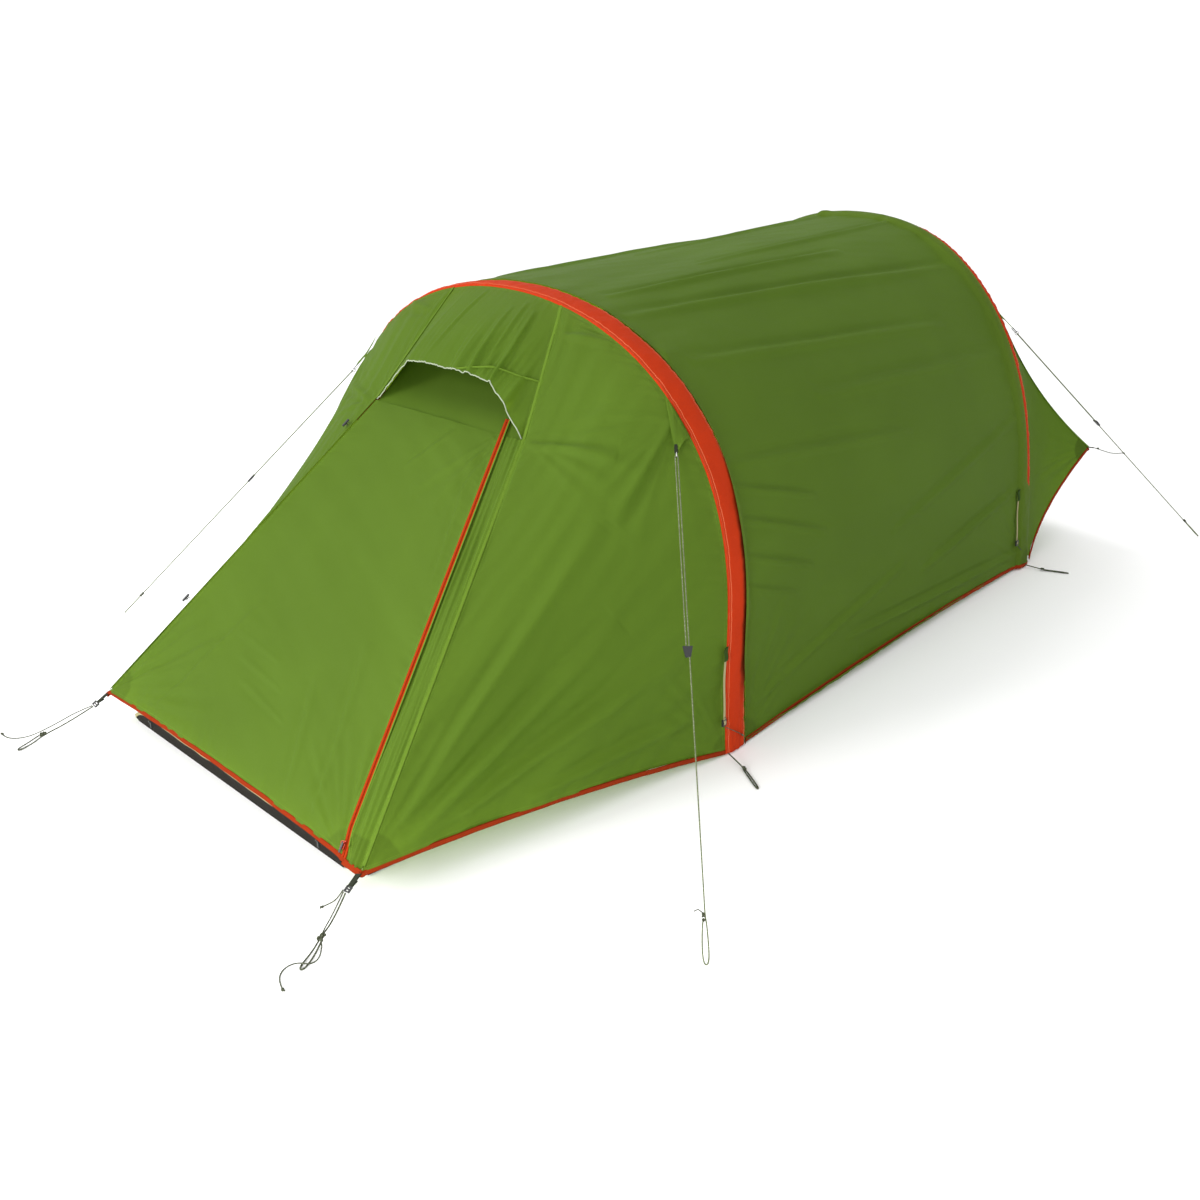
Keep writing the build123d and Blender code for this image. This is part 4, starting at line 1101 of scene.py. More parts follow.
def make_baffle():
    c = Cloth(baffle_point, 121, 61, (0, -1, 1))
    c.folds(0.12, 0.3, 0.003, 95)
    c.folds(0.05, 0.2, 0.0012, 96)
    c.hold(np.minimum(c.a, c.a_left), c.b, reach=0.01)
    # painted shade: the curtain is a little darker everywhere and much darker towards its top, where the hood's
    # lip shades it
    c.patch = 0.12 + 0.85 * ramp(c.v, 0.04, 0.42)
    c.piece("vent_baffle_cloth", FLY, "fly_fabric", "vent_baffle", held="hung", rests_on=["vent_hood"])


def make_rear():
    for name, mirror in (("fly_rear_side_near", 1), ("fly_rear_side_far", -1)):
        point = rear_side_point if mirror > 0 else mirrored(rear_side_point)
        c = Cloth(point, 161, 121, (mirror, 0.4, 0.2))
        corner = c.at(1.0, 1.0)
        c.folds(0.40, 0.12, 0.0026, 100 + mirror, turn=0.9)
        c.folds(0.16, 0.05, 0.0010, 103 + mirror, turn=0.9)
        c.pucker(c.b, c.a, 0.020, 0.0022, 0.03, 105 + mirror)
        c.fan(corner, c.at(0.5, 0.3), 1.0, 6, 0.35, 0.005, 0.0028, 107 + mirror)
        c.hold(c.b, c.a_left, reach=0.014)
        c.darken(corner, 0.8, 0.055, 0.062)
        c.piece(name + "_cloth", FLY, "fly_fabric", name, rests_on=["beam_sleeve_rear"],
                seams=[c.b, c.b_left, c.a_left])
    c = Cloth(rear_end_point, 261, 141, (0, 1, 0.6))
    c.folds(0.15, 0.9, 0.0040, 111)
    c.folds(0.07, 0.4, 0.0018, 112)
    c.pucker(c.b, c.a, 0.022, 0.0024, 0.03, 113)
    c.fan(c.at(0.0, 1.0), c.at(0.35, 0.3), 1.1, 7, 0.5, 0.006, 0.0036, 114)
    c.fan(c.at(1.0, 1.0), c.at(0.65, 0.3), 1.1, 7, 0.5, 0.006, 0.0036, 115)
    c.fan(c.at(0.5, 1.0), c.at(0.5, 0.3), 1.4, 7, 0.4, 0.006, 0.0030, 116)
    side = np.minimum(c.a, c.a_left)
    c.hold(c.b, side, reach=0.014)
    for mirror in (1, -1):
        c.darken(REAR_CORNER * (mirror, 1, 1), 0.8, 0.055, 0.062)
    c.piece("fly_rear_end_cloth", FLY, "fly_fabric", "fly_rear_end", rests_on=["beam_sleeve_rear"],
            seams=[c.b, side, c.b_left])


# ---------------------------------------------------------------- sleeves and beams
def arch_normals(path):
    """Outward normals of an arch's line, in its plane."""
    tangent = unit(np.gradient(path, axis=0))
    normal = xyz(tangent[:, 2], 0, -tangent[:, 0])
    return unit(normal)


SLEEVE_FOOT_Z, SLEEVE_RISE, SLEEVE_DEPTH = 0.005, 0.0072, 0.056
BLADDER_R, BLADDER_END = 0.0285, 6     # its radius, and the rings in each rounded end


def make_sleeve(which, curve):
    """The padded band over an arch, closed below, with the beam's bladder inside it."""
    u = np.linspace(0, 1, 4001)
    line = curve(u)
    inside = u[line[:, 2] > SLEEVE_FOOT_Z]
    path = curve(np.linspace(inside[0], inside[-1], 620))
    normal = arch_normals(path)
    run = metres_along(path)
    angle = np.linspace(0, 2 * np.pi, 56, endpoint=False)
    top = np.sin(angle) >= 0
    across = SLEEVE_W / 2 * np.cos(angle)
    height = np.where(top, SLEEVE_RISE * np.abs(np.sin(angle)) ** 0.8,
                      -SLEEVE_DEPTH * np.abs(np.sin(angle)) ** 0.85)
    s, x = np.meshgrid(run, across, indexing="ij")
    up = np.broadcast_to(height, s.shape).copy()
    edge = SLEEVE_W / 2 - abs(x)
    gather = np.exp(-edge / 0.012)
    seed = 120 if which == "front" else 130
    top_only = np.broadcast_to(top, s.shape)
    up += np.where(top_only, 0.0017 * noise(s / 0.013, x / 0.03, seed) * (0.35 + gather), 0)
    up += np.where(top_only, 0.0016 * noise(s / 0.045, x / 0.05, seed + 1), 0)
    up -= np.where(top_only, 0.0022 * np.exp(-((edge - 0.0055) / 0.0016) ** 2), 0)
    low = 1 - ramp(s, 0.0, 0.16) * ramp(run[-1] - s, 0.0, 0.16)
    up += np.where(top_only, low * 0.0022 * noise(s / 0.03, x / 0.012, seed + 2), 0)
    points = path[:, None] + normal[:, None] * up[..., None] + xyz(0, x, 0)
    height_above = points[..., 2]
    # painted shade: fold is no fold in the shape; it darkens the front sleeve's rear flank from about 0.10 to
    # 0.72 m up, where that side is shaded
    fold = 0.9 * ramp(x, 0.008, 0.020) * ramp(height_above, 0.10, 0.24) * (1 - ramp(height_above, 0.55, 0.72))
    fold = fold * top_only * (which == "front")
    points[..., 2] = np.maximum(points[..., 2], 0.002)
    n, m = s.shape
    points = np.concatenate([points.reshape(-1, 3), [points[0].mean(0)], [points[-1].mean(0)]])
    quads = sheet_quads(n, m, wrap=True)
    caps = [(n * m, k, (k + 1) % m, (k + 2) % m) for k in range(0, m, 2)]
    caps += [(n * m + 1, (n - 1) * m + (k + 2) % m, (n - 1) * m + (k + 1) % m,
              (n - 1) * m + k) for k in range(0, m, 2)]
    cloth = np.concatenate([xyz(s, x, edge).reshape(-1, 3), [(0, 0, 0.5)], [(0, 0, 0.5)]])
    node = "beam_sleeve_" + which
    add_mesh(node + "_cloth", points, np.concatenate([quads, np.array(caps)])[:, ::-1], RED, "red_binding",
             [node],
             attributes={"cloth": cloth, "patch": np.concatenate([fold.ravel(), [0, 0]])})
    beam = curve(np.linspace(inside[0] + 0.003, inside[-1] - 0.003, 300))
    beam = beam - arch_normals(beam) * BEAM_INSET
    from_end = np.minimum(np.arange(300), np.arange(300)[::-1]) / BLADDER_END
    rounded = np.where(from_end < 1, np.clip(1 - (1 - from_end) ** 2, 0.02, 1), 1)
    node = "air_beam_" + which
    add_mesh(node + "_film", *tube_arrays(beam, BLADDER_R * np.sqrt(rounded), 24), FILM, "beam_film", [node])


# ---------------------------------------------------------------- bindings, seam tapes and the zip
BINDING_H = 0.012


def hem_run(line, away, drop=BINDING_H / 2 + 0.0005, width=BINDING_H + 0.002, thick=0.0026, seed=1):
    """A folded binding over a hem, a little wavy."""
    s = np.linspace(0, len(line) / 12.0, len(line))
    wave = 0.0009 * noise(s, s * 0.3, seed)[:, None]
    away = unit(np.array(away))
    path = line + away * (drop - 0.002) + wave * away + wave[::-1] * np.array((0.7, -0.7, 0))
    return path, away, width, thick


def make_bindings():
    porch_hem = porch_point(np.zeros(160), np.linspace(0, 1, 160))
    canopy_hem = canopy_point(np.zeros(200), np.linspace(0, 1, 200))
    rear_hem = rear_side_hem(np.linspace(0.01, 1.0, 120))
    side_runs = [hem_run(porch_hem, (0, 0, -1), seed=141), hem_run(canopy_hem, (0, 0, -1), seed=142),
                 hem_run(rear_hem, (0, 0.7, -0.7), seed=143)]
    around = np.array([CORNER + (-0.0055, -0.001, -0.004), CORNER + (-0.002, -0.003, -0.005),
                       CORNER + (0.001, 0.001, -0.006), CORNER + (0.0015, 0.006, -0.006)])
    join = (around, (0, 0, -1), BINDING_H + 0.001, 0.0030)
    jamb_hem = jamb_point(np.zeros(40), np.linspace(0.0, 1.13, 40))
    near = side_runs + [join, hem_run(jamb_hem, -SIDE, seed=144)]
    ribbons("hem_binding_near_tape", near, TAPE, "red_binding", ["hem_binding_near"])
    ribbons("hem_binding_far_tape", flipped(side_runs + [join]), TAPE, "red_binding", ["hem_binding_far"])
    end_hem = rear_hem_point(np.linspace(0, 1, 240))
    ribbons("hem_binding_rear_tape", [hem_run(end_hem, (0, 0.2, -1), seed=145)], TAPE, "red_binding",
            ["hem_binding_rear"])
    door_hem = door_point(np.zeros(200), np.linspace(0, 1, 200))
    door_hem = np.concatenate([[door_hem[0] + (0.017, 0, 0)], door_hem])
    ribbons("hem_binding_door_tape", [hem_run(door_hem, (0, -SIDE[1], -SIDE[2]), 0.0035, 0.010, seed=146)],
            TAPE, "red_binding",
            ["hem_binding_door"], body="door")


def make_seam_tapes():
    """Narrow felled ridges of the flysheet's own cloth over its seams."""
    lift = 0.0012
    size = (0.0085, 0.0022)
    runs = []
    for side, sign in (("near", 1), ("far", -1)):
        line = on_door(side, np.linspace(0.014, SEAM_LENGTH, 220), 0.0)
        out = unit(DOOR_OUT + np.array((0.8 * sign, 0, 0)))
        runs.append((line + out * lift, np.cross(SIDE * (sign, 1, 1), out), *size))
    for mirror in (1, -1):
        flip = np.array((mirror, 1, 1))
        line = lerp(APEX * flip, ARCH_END * flip, np.linspace(0, 1, 60))
        runs.append((line + np.array((0.4 * mirror, -0.5, 0.6)) * lift, (mirror, 0, -0.6), *size))
        ridge = rear_side_point(np.ones(90), np.linspace(0, 1, 90)) * flip
        runs.append((ridge + np.array((0.5 * mirror, 0.3, 0.6)) * lift, (mirror * 0.6, 0, -0.8), *size))
    ribbons("fly_seam_tapes", runs, SEAM, "fly_fabric")
    u, v = np.meshgrid(np.linspace(0, 0.5, 240), np.linspace(0.4, 1, 200), indexing="ij")
    hood = hood_point(u, v).reshape(-1, 3)
    start, stop = spot(hood_point, 0.0, 0.58), spot(hood_point, 0.42, 1.0)
    nearest = [hood[np.argmin(away_from(hood, lerp(start, stop, t)))] for t in np.linspace(0, 1, 9)]
    sewn = Curve(nearest)(np.linspace(0, 1, 80))
    ribbons("vent_hood_seam", [(sewn + (0, -0.0006, 0.0012), (0, 0.5, -1), 0.0055, 0.0016)], SEAM,
            "fly_fabric")


ZIP_RISE = 0.045                       # the zip runs on under the vent hood
COIL_R, COIL_WIRE, COIL_TURNS = 0.0011, 0.0005, 560


def zip_line(across, lift, low=0.004):
    along = np.linspace(low, DOOR_TOP + ZIP_RISE, 420)
    return on_door("near", along, across + zip_shift(along)) + DOOR_OUT * lift


def coil_arrays(line, phase):
    """A sewn zip coil: a fine wire wound round a line."""
    t = np.linspace(0, 1, COIL_TURNS * 9)
    i = t * (len(line) - 1)
    low = np.minimum(i.astype(int), len(line) - 2)
    centre = lerp(line[low], line[low + 1], i - low)
    tangent = unit(line[-1] - line[0])
    side = unit(np.cross(tangent, DOOR_OUT))
    angle = 2 * np.pi * COIL_TURNS * t + phase
    path = centre + side * np.cos(angle)[:, None] * COIL_R + DOOR_OUT * np.sin(angle)[:, None] * COIL_R * 0.6
    return tube_arrays(path, COIL_WIRE, 5)


def make_zip():
    middle = STRIP_W + ZIP_W / 2
    tape_w = ZIP_W / 2 - 0.0006
    x = (1, 0, 0)
    ribbons("door_zip_fixed_tape_band", [(zip_line(STRIP_W + tape_w / 2, 0.0010), x, tape_w, 0.0022)],
            ZIP_TAPE, "red_zip", ["door_zip_fixed_tape"])
    ribbons("door_zip_door_tape_band", [(zip_line(STRIP_W + ZIP_W - tape_w / 2, 0.0010), x, tape_w, 0.0022)],
            ZIP_TAPE, "red_zip", ["door_zip_door_tape"], body="door")
    for name, shift, phase, body in (("door_zip_fixed_coil", -0.0009, 0.0, "tent"),
                                     ("door_zip_door_coil", 0.0009, math.pi, "door")):
        run = zip_line(middle + shift, 0.0026, low=0.020)
        add_mesh(name, *coil_arrays(run, phase), COIL, "red_zip", body=body)
    edge_fold = zip_line(STRIP_W - 0.0022, 0.0030, low=0.03)
    ribbons("door_zip_edge_fold", [(edge_fold, x, 0.0042, 0.0022)], SEAM, "fly_fabric")


# ---------------------------------------------------------------- guying points, straps, tabs
def gusset_corners(which):
    curve = front if which == "front" else rear
    face = -(SLEEVE_W / 2 + 0.009) if which == "front" else 0.024
    heights = (0.892, 0.806) if which == "front" else (0.925, 0.822)
    ring, d, _, _ = guy_frame(which)
    corners = []
    for z in heights:
        p = curve(share_at(curve, 2, z))
        out = unit(np.array((p[0], 0, p[2] - 0.400)))
        corners.append(np.array((p[0], p[1] + face, p[2])) + out * (0.006 if which == "front" else -0.002))
    return corners[0], corners[1], ring - d * (RING_R + RING_WIRE + 0.001)


def make_gussets():
    for which in ("front", "rear"):
        high, low, tip = gusset_corners(which)
        for name, mirror in (("near", 1), ("far", -1)):
            flip = np.array((mirror, 1, 1))

            def point(u, v, high=high, low=low, tip=tip, flip=flip):
                base = lerp(high, low, u)
                hollow = 0.010 * bow(v) * (2 * u - 1)
                p = lerp(base, tip + (low - high) * 0.10 * (u[..., None] - 0.5), v)
                return (p + xyz(0, 0, hollow)) * flip

            c = Cloth(point, 41, 41, (mirror, 0, 0.5))
            c.lift += 0.0016 * noise(c.u * 5, c.v * 1.5, 150) * (1 - c.v)
            c.patch += 0.35
            c.piece(f"guy_gusset_{which}_{name}_cloth", FLY, "fly_fabric", f"guy_gussets_{which}",
                    rests_on=[f"beam_sleeve_{which}"], seams=[c.b, np.minimum(c.a, c.a_left)])
        ring, d, s, _ = guy_frame(which)
        runs = []
        for mirror in (1, -1):
            flip = np.array((mirror, 1, 1))
            angle = np.linspace(-0.6 * np.pi, 0.6 * np.pi, 24)
            up = np.cross(s, d)
            loop = [ring - d * (RING_R + 0.001) + (-d * np.cos(a + np.pi) * 0.0026 + up * np.sin(a) * 0.0026)
                    for a in angle]
            loop = [loop[0] - d * 0.018] + loop + [loop[-1] - d * 0.018]
            runs.append((np.array(loop) * flip, s * flip, 0.0075, 0.0009))
        ribbons(f"guy_gusset_{which}_loops", runs, WEBBING, "dark_webbing")


STRAP_W = 0.008
TOGGLES_ALONG = (0.330, 0.965)         # up the door's far seam


def strap_path(curve, low_z, high_z, count=60):
    z = np.linspace(low_z, high_z, count)
    p = np.array([curve(share_at(curve, 2, value)) for value in z])
    wave = 0.0012 * np.sin(np.linspace(0, 7, count))
    return p + xyz(0.0088 + wave, -(SLEEVE_W / 2 + 0.014), 0)


def make_straps():
    runs, tabs = [], []
    for curve, top in ((front, 0.310), (rear, 0.285)):
        runs += [(strap_path(curve, 0.098, top - 0.020), (0, 1, 0), STRAP_W, 0.0014),
                 (strap_path(curve, 0.100, 0.120, 12) + (0.0022, 0, 0), (0, 1, 0), STRAP_W, 0.0014)]
        tabs.append((strap_path(curve, top - 0.034, top + 0.004, 20) + (0.0016, 0, 0), (0, 1, 0), 0.014,
                     0.0022))
    ribbons("foot_straps_webbing", runs + flipped(runs), CREAM, "cream_webbing", ["foot_straps"])
    ribbons("foot_strap_tabs", tabs + flipped(tabs), TAB_CLOTH, "fly_fabric")
    rear_across = unit(np.cross(REAR_TAB_OUT, (0, 0, 1)))
    t = np.linspace(0, 1, 12)
    front_across = unit(np.cross(TAB_OUT, (0, 0, 1)))
    tab = lerp(TAB_START - TAB_OUT * 0.010, TAB_START + TAB_OUT * 0.026, t)
    fold = lerp(TAB_START + TAB_OUT * 0.026, TAB_START + TAB_OUT * 0.004 + (0, 0, -0.0045), t)
    rear_tab = lerp(REAR_CORNER - REAR_TAB_OUT * 0.008, REAR_CORNER + REAR_TAB_OUT * 0.019, t)
    runs = [(tab, front_across, 0.014, 0.0018), (fold, front_across, 0.0136, 0.0016),
            (rear_tab, rear_across, 0.009, 0.0018)]
    ribbons("corner_tabs_webbing", runs + flipped(runs), WEBBING, "dark_webbing", ["corner_tabs"])
    toggles = []
    for along in TOGGLES_ALONG:
        at = on_door("far", along, -0.016) + DOOR_OUT * 0.006
        run = SIDE * (-1, 1, 1)
        loop = [at + run * 0.004 + (0.010, 0, 0), at + run * 0.003 + DOOR_OUT * 0.002, at + DOOR_OUT * 0.0048,
                at - run * 0.003 + DOOR_OUT * 0.002, at - run * 0.004 + (0.010, 0, 0)]
        toggles.append(tube_arrays(Curve(loop)(np.linspace(0, 1, 24)), 0.0011, 8))
    add_mesh("door_tie_loops", *merged(toggles), CORD, "cord")


# ---------------------------------------------------------------- groundsheets
LIP_H, LIP_LEAN = 0.054, 0.014
LIP_NEAR_X, LIP_FAR_X = 0.430, -0.520
PORCH_FRONT_Y = DOOR_Y + 0.046
INNER_FRONT_Y, INNER_REAR_Y, INNER_END_Y = DOOR_Y + 1.086, DOOR_Y + 2.596, DOOR_Y + 2.930
TUB_H, TUB_HALF, TUB_END_HALF = 0.100, 0.620, 0.500


def porch_floor_point(u, v):
    front_x = LIP_FAR_X + (0.492 - LIP_FAR_X) * u
    back_x = -0.600 + 1.200 * u
    front_y = PORCH_FRONT_Y + 0.020 * ramp(u, 0.92, 1.0)
    y = front_y + (INNER_FRONT_Y - 0.012 - front_y) * v
    return xyz(front_x + (back_x - front_x) * v, y, 0.0012 + 0 * u)


def lip_point(u, v):
    x = LIP_FAR_X + (LIP_NEAR_X - LIP_FAR_X) * u
    z = LIP_H * v * ramp(u, -0.02, 0.10) ** 0.5
    return xyz(x, PORCH_FRONT_Y - LIP_LEAN * z / LIP_H, z + 0.0012)


def tub_outline(u):
    corners = np.array([(TUB_HALF, INNER_FRONT_Y), (TUB_HALF, INNER_REAR_Y), (TUB_END_HALF, INNER_END_Y),
                        (-TUB_END_HALF, INNER_END_Y), (-TUB_HALF, INNER_REAR_Y), (-TUB_HALF, INNER_FRONT_Y),
                        (TUB_HALF, INNER_FRONT_Y)])
    steps = np.linalg.norm(np.diff(corners, axis=0), axis=1)
    t = np.concatenate([[0], np.cumsum(steps)]) / steps.sum()
    return np.stack([np.interp(u, t, corners[:, k]) for k in (0, 1)], -1)


def make_groundsheets():
    c = Cloth(porch_floor_point, 121, 101, (0, 0, 1))
    c.lift += 0.0012 + 0.0012 * noise(c.a / 0.10, c.b / 0.14, 160) + 0.0004 * noise(c.a / 0.03, c.b / 0.03, 161)
    c.piece("porch_groundsheet_floor", GROUNDCLOTH, "groundsheet", "porch_groundsheet", held="laid")
    c = Cloth(lip_point, 201, 17, (0, -1, 0))
    c.lift += (0.0030 * noise(c.a / 0.09, c.v * 0.7, 162) + 0.0012 * noise(c.a / 0.03, c.v, 163)) * c.v
    lip = c.piece("porch_groundsheet_lip", GROUNDCLOTH, "groundsheet", "porch_groundsheet",
                  rests_on=["lip_hooks"])
    edge = lip[:, -1] + (0, 0, 0.0035)
    turn = [edge[-1] + (0.020, 0.004, -0.006), (0.476, PORCH_FRONT_Y + 0.006, 0.026),
            (0.490, PORCH_FRONT_Y + 0.018, 0.010)]
    edge = Curve(np.concatenate([edge[::8], turn]))(np.linspace(0, 1, 260))
    ribbons("lip_webbing_tape", [(edge, (0, 0, 1), 0.0085, 0.0016)], CREAM, "cream_webbing", ["lip_webbing"])

    def wall(u, v):
        xy = tub_outline(u)
        return np.concatenate([xy, (0.002 + (TUB_H - 0.002) * v)[..., None]], -1)

    c = Cloth(wall, 401, 15, (1, 0, 0))
    c.lift += (0.0016 * noise(c.a / 0.07, c.v * 0.8, 164) + 0.0006 * noise(c.a / 0.02, c.v, 165)) * bow(c.v)
    c.piece("groundsheet_tub_wall", GROUNDCLOTH, "groundsheet", "groundsheet_tub", rests_on=["inner_canopy"])

    def floor_point(u, v):
        y = INNER_FRONT_Y + (INNER_END_Y - INNER_FRONT_Y) * v
        half = np.interp(y, (INNER_FRONT_Y, INNER_REAR_Y, INNER_END_Y), (TUB_HALF, TUB_HALF, TUB_END_HALF))
        return xyz(half * (2 * u - 1), y, 0.0012 + 0 * u)

    c = Cloth(floor_point, 161, 201, (0, 0, 1))
    c.lift += 0.0014 + 0.0014 * noise(c.a / 0.16, c.b / 0.22, 166) + 0.0004 * noise(c.a / 0.04, c.b / 0.04, 167)
    c.piece("groundsheet_tub_floor", GROUNDCLOTH, "groundsheet", "groundsheet_tub", held="laid")
    trim = np.concatenate([tub_outline(np.linspace(0, 1, 400)), np.full((400, 1), TUB_H)], -1)
    ribbons("groundsheet_tub_seam", [(trim, (0, 0, 1), 0.010, 0.0024)], WEBBING, "groundsheet")


# ---------------------------------------------------------------- inner tent
INNER_U = 0.036                        # the inner tent's arches start and end at this share, at the tub's rim
INNER_HALF, INNER_TOP = 0.612, 0.958
NET_BACK = 0.0026                      # how far the front wall and its door lie before the inner arch
INNER_DOOR_GAP = 0.004
DOORWAY_W, DOORWAY_H, DOORWAY_Z, DOORWAY_R = 0.760, 0.640, 0.450, 0.130
inner_front = scaled_arch(FRONT_SHAPE, INNER_FRONT_Y, INNER_HALF, INNER_TOP)
inner_rear = scaled_arch(REAR_SHAPE, INNER_REAR_Y, INNER_HALF, INNER_TOP)


def inner_canopy_point(u, v):
    k = INNER_U + (1 - 2 * INNER_U) * u
    p = lerp(inner_front(k), inner_rear(k), v)
    return xyz(p[..., 0], p[..., 1], np.maximum(p[..., 2] - 0.014 * bow(v), TUB_H))


def foot_end_point(u, v):
    k = INNER_U + (1 - 2 * INNER_U) * u
    a = inner_rear(k)
    a = xyz(a[..., 0], INNER_REAR_Y + 0.001, np.maximum(a[..., 2], TUB_H))
    c, s = np.cos(np.pi * u), np.sin(np.pi * np.clip(u, 0, 1))
    s = np.maximum(s, 0)
    hem_x = 0.600 * (1 - 0.19 * s) * c / np.maximum(abs(c), s) ** 0.6
    hem = xyz(hem_x, INNER_REAR_Y + 0.014 + 0.314 * s ** 0.8, TUB_H)
    return lerp(a, hem, v)


def rounded_box(u, half_w, half_h, r):
    """Points round a rounded rectangle, u from 0 to 1, starting at the middle of +X going up."""
    t = np.linspace(0, 1, 41)
    quarter = lambda a: np.stack([np.cos(a), np.sin(a)], -1) * r
    centres = [(half_w - r, half_h - r), (-half_w + r, half_h - r), (-half_w + r, -half_h + r),
               (half_w - r, -half_h + r)]
    points = [np.array([(half_w, 0.0)])]
    for k, centre in enumerate(centres):
        points.append(np.array(centre) + quarter((k + t) * np.pi / 2))
    points.append(np.array([(half_w, 0.0)]))
    points = np.concatenate(points)
    steps = np.linalg.norm(np.diff(points, axis=0), axis=1)
    run = np.concatenate([[0], np.cumsum(steps)]) / steps.sum()
    return np.stack([np.interp(u, run, points[:, k]) for k in (0, 1)], -1)


def wall_point(u, v):
    """From the doorway's rim, straight out to the inner arch or, below it, to the tub's rim."""
    inside = rounded_box(u, DOORWAY_W / 2, DOORWAY_H / 2, DOORWAY_R) + (0, DOORWAY_Z)
    angle = np.arctan2(inside[..., 1] - DOORWAY_Z, inside[..., 0])
    arch = inner_front(np.linspace(INNER_U, 1 - INNER_U, 1601))
    arch_angle = np.arctan2(arch[:, 2] - DOORWAY_Z, arch[:, 0])
    wrapped = np.unwrap(arch_angle)
    a = np.where(angle < wrapped[0], angle + 2 * np.pi, angle)
    use_arch = a <= wrapped[-1]
    ax = np.interp(a, wrapped, arch[:, 0])
    az = np.interp(a, wrapped, arch[:, 2])
    down = TUB_H + 0.002 - DOORWAY_Z
    slope = np.tan(a)
    bx = np.clip(down / np.where(abs(slope) < 1e-6, 1e-6, slope), -0.610, 0.610)
    x, z = np.where(use_arch, ax, bx), np.where(use_arch, az, TUB_H + 0.002)
    outside = np.stack([x, z], -1)
    p = inside + (outside - inside) * v[..., None]
    return xyz(p[..., 0], INNER_FRONT_Y - NET_BACK, p[..., 1])


def inner_door_point(u, v):
    rim = rounded_box(u, DOORWAY_W / 2 - INNER_DOOR_GAP, DOORWAY_H / 2 - INNER_DOOR_GAP, DOORWAY_R)
    p = rim * v[..., None] + (0, DOORWAY_Z)
    return xyz(p[..., 0], INNER_FRONT_Y - NET_BACK, p[..., 1])


def make_inner():
    c = Cloth(inner_canopy_point, 261, 161, (0, 0, 1))
    c.folds(0.25, 0.9, 0.004, 170)
    c.folds(0.10, 0.4, 0.0018, 171)
    c.hold(c.b, c.b_left, c.a, c.a_left, reach=0.02)
    c.piece("inner_canopy_cloth", INNER, "inner_fabric", "inner_canopy", held="hung",
            rests_on=["inner_hanging_toggles"], seams=[np.minimum(c.b, c.b_left)])
    c = Cloth(foot_end_point, 161, 81, (0, 1, 0.4))
    c.folds(0.12, 0.5, 0.003, 172)
    c.hold(c.b, c.b_left, reach=0.02)
    c.piece("inner_foot_end_cloth", INNER, "inner_fabric", "inner_foot_end", held="hung",
            rests_on=["inner_canopy"], seams=[c.b])
    c = Cloth(wall_point, 321, 41, (0, -1, 0))
    c.lift += 0.0020 * noise(c.u * 30, c.v * 2, 173)
    c.hold(c.b, c.b_left, reach=0.015)
    c.piece("inner_front_wall_cloth", INNER, "inner_fabric", "inner_front_wall", rests_on=["inner_canopy"],
            seams=[c.b], cut=(1.220, 0.855))
    c = Cloth(inner_door_point, 241, 61, (0, -1, 0))
    c.lift += 0.0026 * noise(c.p[..., 0] / 0.10, c.p[..., 2] / 0.35, 174) * ramp(1 - c.v, 0.0, 0.2)
    c.piece("inner_door_cloth", INNER, "inner_fabric", "inner_door", body="inner_door",
            rests_on=["inner_front_wall"], seams=[c.b_left + 0.001], cut=(0.752, 0.632))
    rim = inner_door_point(np.linspace(0, 1, 300), np.ones(300)) + (0, -0.001, 0)
    centre = np.array((0, 0, DOORWAY_Z))
    side = unit((rim - centre) * (1, 0, 1))
    ribbons("inner_door_zip", [(rim, side, 0.009, 0.0018)], WEBBING, "inner_fabric", body="inner_door")
    arch = inner_front(np.linspace(INNER_U, 1 - INNER_U, 300)) + (0, -0.001, 0)
    ribbons("inner_front_seam", [(arch, (0, 1, 0), 0.008, 0.0022)], CREAM, "inner_fabric")


# ---------------------------------------------------------------- kept CAD nodes
def finish_node(name, material, bevel=0.0006, segments=3):
    node = frame["nodes"][name]
    node.data.materials.clear()
    node.data.materials.append(material)
    modifier = node.modifiers.new("edges", "BEVEL")
    modifier.width, modifier.segments, modifier.limit_method = bevel, segments, "ANGLE"
    modifier.angle_limit = math.radians(40)
    modifier.harden_normals = True
    for polygon in node.data.polygons:
        polygon.use_smooth = True


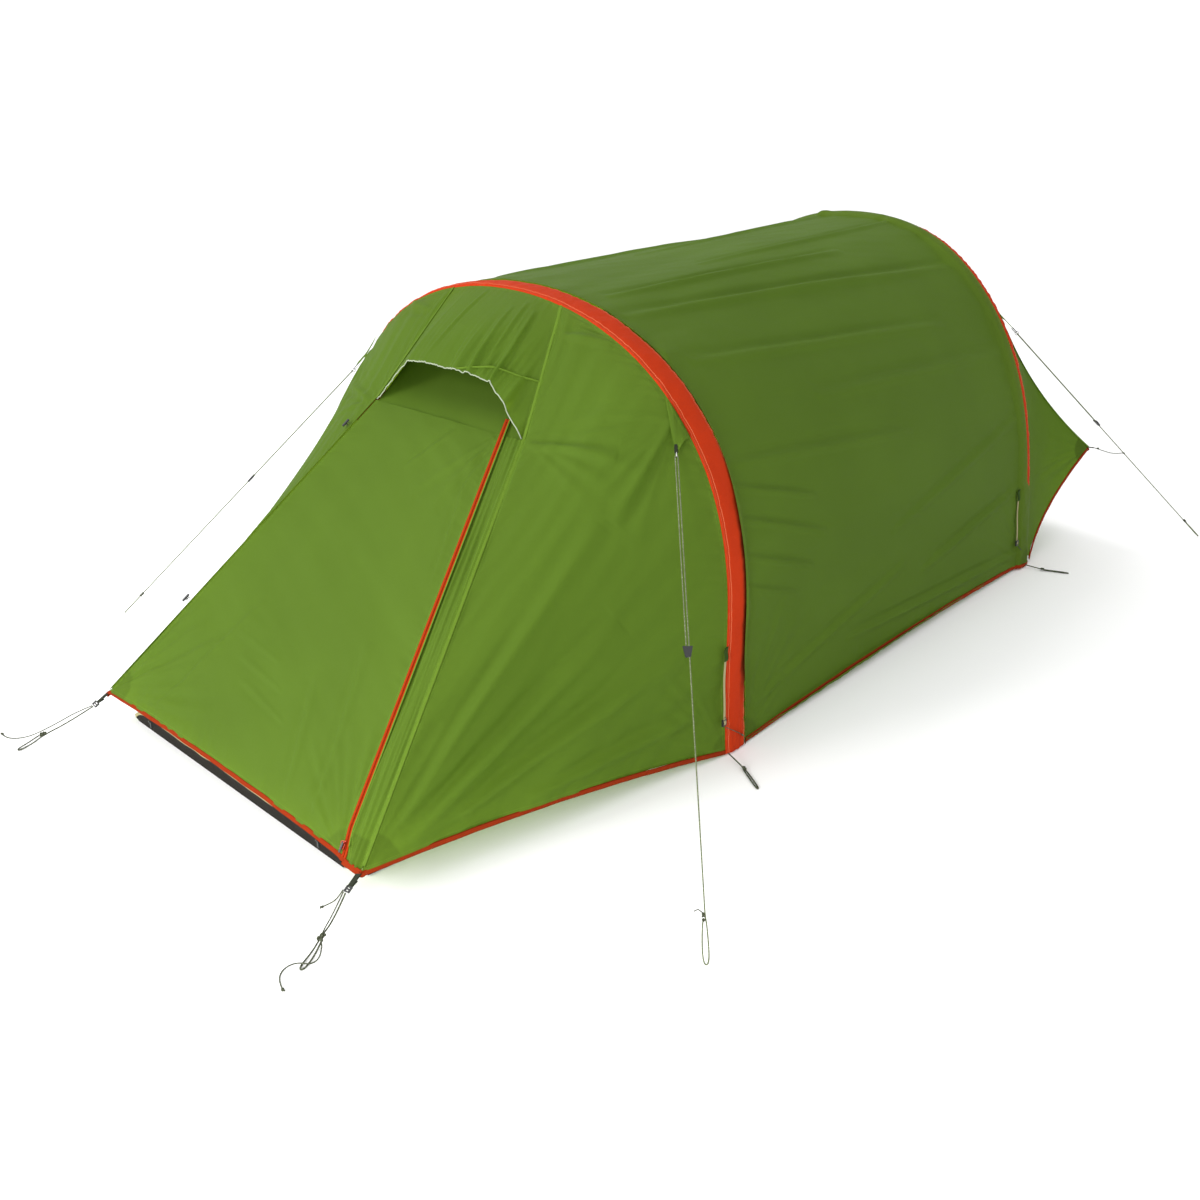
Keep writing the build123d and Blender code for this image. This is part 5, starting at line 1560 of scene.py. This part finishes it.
def finish_nodes():
    for name in ("guy_runner_front_near", "guy_runner_front_far", "guy_runner_rear_near"):
        finish_node(name, DARK_PLASTIC, 0.0012)
    for name in ("foot_buckles", "corner_ladder_locks", "lip_hooks", "door_tie_toggles",
                 "inner_hanging_toggles"):
        finish_node(name, DARK_PLASTIC, 0.0008)
    finish_node("zip_slider", SLIDER, 0.0009)
    finish_node("zip_puller", DARK_PLASTIC, 0.0005)
    finish_node("guy_rings", METAL, 0.0001, 1)
    for which in ("front", "rear"):
        finish_node("inflation_valve_" + which, DARK_PLASTIC, 0.0008)
        finish_node("valve_cap_" + which, CAP, 0.0008)


FILM = plastic_material("beam_film", rgb(215, 214, 208), rough=0.35)
DARK_PLASTIC = plastic_material("dark_plastic", rgb(30, 31, 32), rough=0.42)
SLIDER = plastic_material("slider_paint", rgb(150, 46, 24), rough=0.38, metallic=0.5)
METAL = plastic_material("ring_metal", rgb(190, 190, 190), rough=0.28, metallic=1.0)
CAP = plastic_material("cap_plastic", rgb(190, 48, 26), rough=0.4)
COIL = webbing_material("zip_coil", rgb(150, 46, 14), rib=0.0012)
TAPE = webbing_material("red_tape", rgb(136, 44, 15))
ZIP_TAPE = webbing_material("zip_tape", rgb(158, 50, 15), rib=0.0012)
SEAM = webbing_material("seam_cloth", rgb(94, 122, 38), rib=0.0012, rough=0.6)
WEBBING = webbing_material("dark_webbing", rgb(46, 50, 40))
CREAM = webbing_material("cream_webbing", rgb(160, 152, 114))
GROUNDCLOTH = cloth_material("groundsheet", rgb(33, 31, 27), rgb(33, 31, 27), share=0.02, rough=0.7,
                             cell=0.008,
                            sheen=0.0, specular=0.04)
INNER = cloth_material("inner_fabric", rgb(150, 148, 132), rgb(150, 148, 130), share=0.25, rough=0.7,
                       cell=0.006)
PIPING = webbing_material("lip_piping", rgb(160, 170, 146), rib=0.0012)
TAB_CLOTH = webbing_material("tab_cloth", rgb(48, 70, 26), rib=0.0012, rough=0.6)

make_camera()
make_studio()
make_floor()
make_cords()
make_canopy()
make_porch_side("fly_porch_side_near", 1)
make_porch_side("fly_porch_side_far", -1)
make_door()
make_jamb()
make_hood()
make_baffle()
make_rear()
make_sleeve("front", front)
make_sleeve("rear", rear)
make_bindings()
make_seam_tapes()
make_zip()
make_gussets()
make_straps()
make_groundsheets()
make_inner()
finish_nodes()
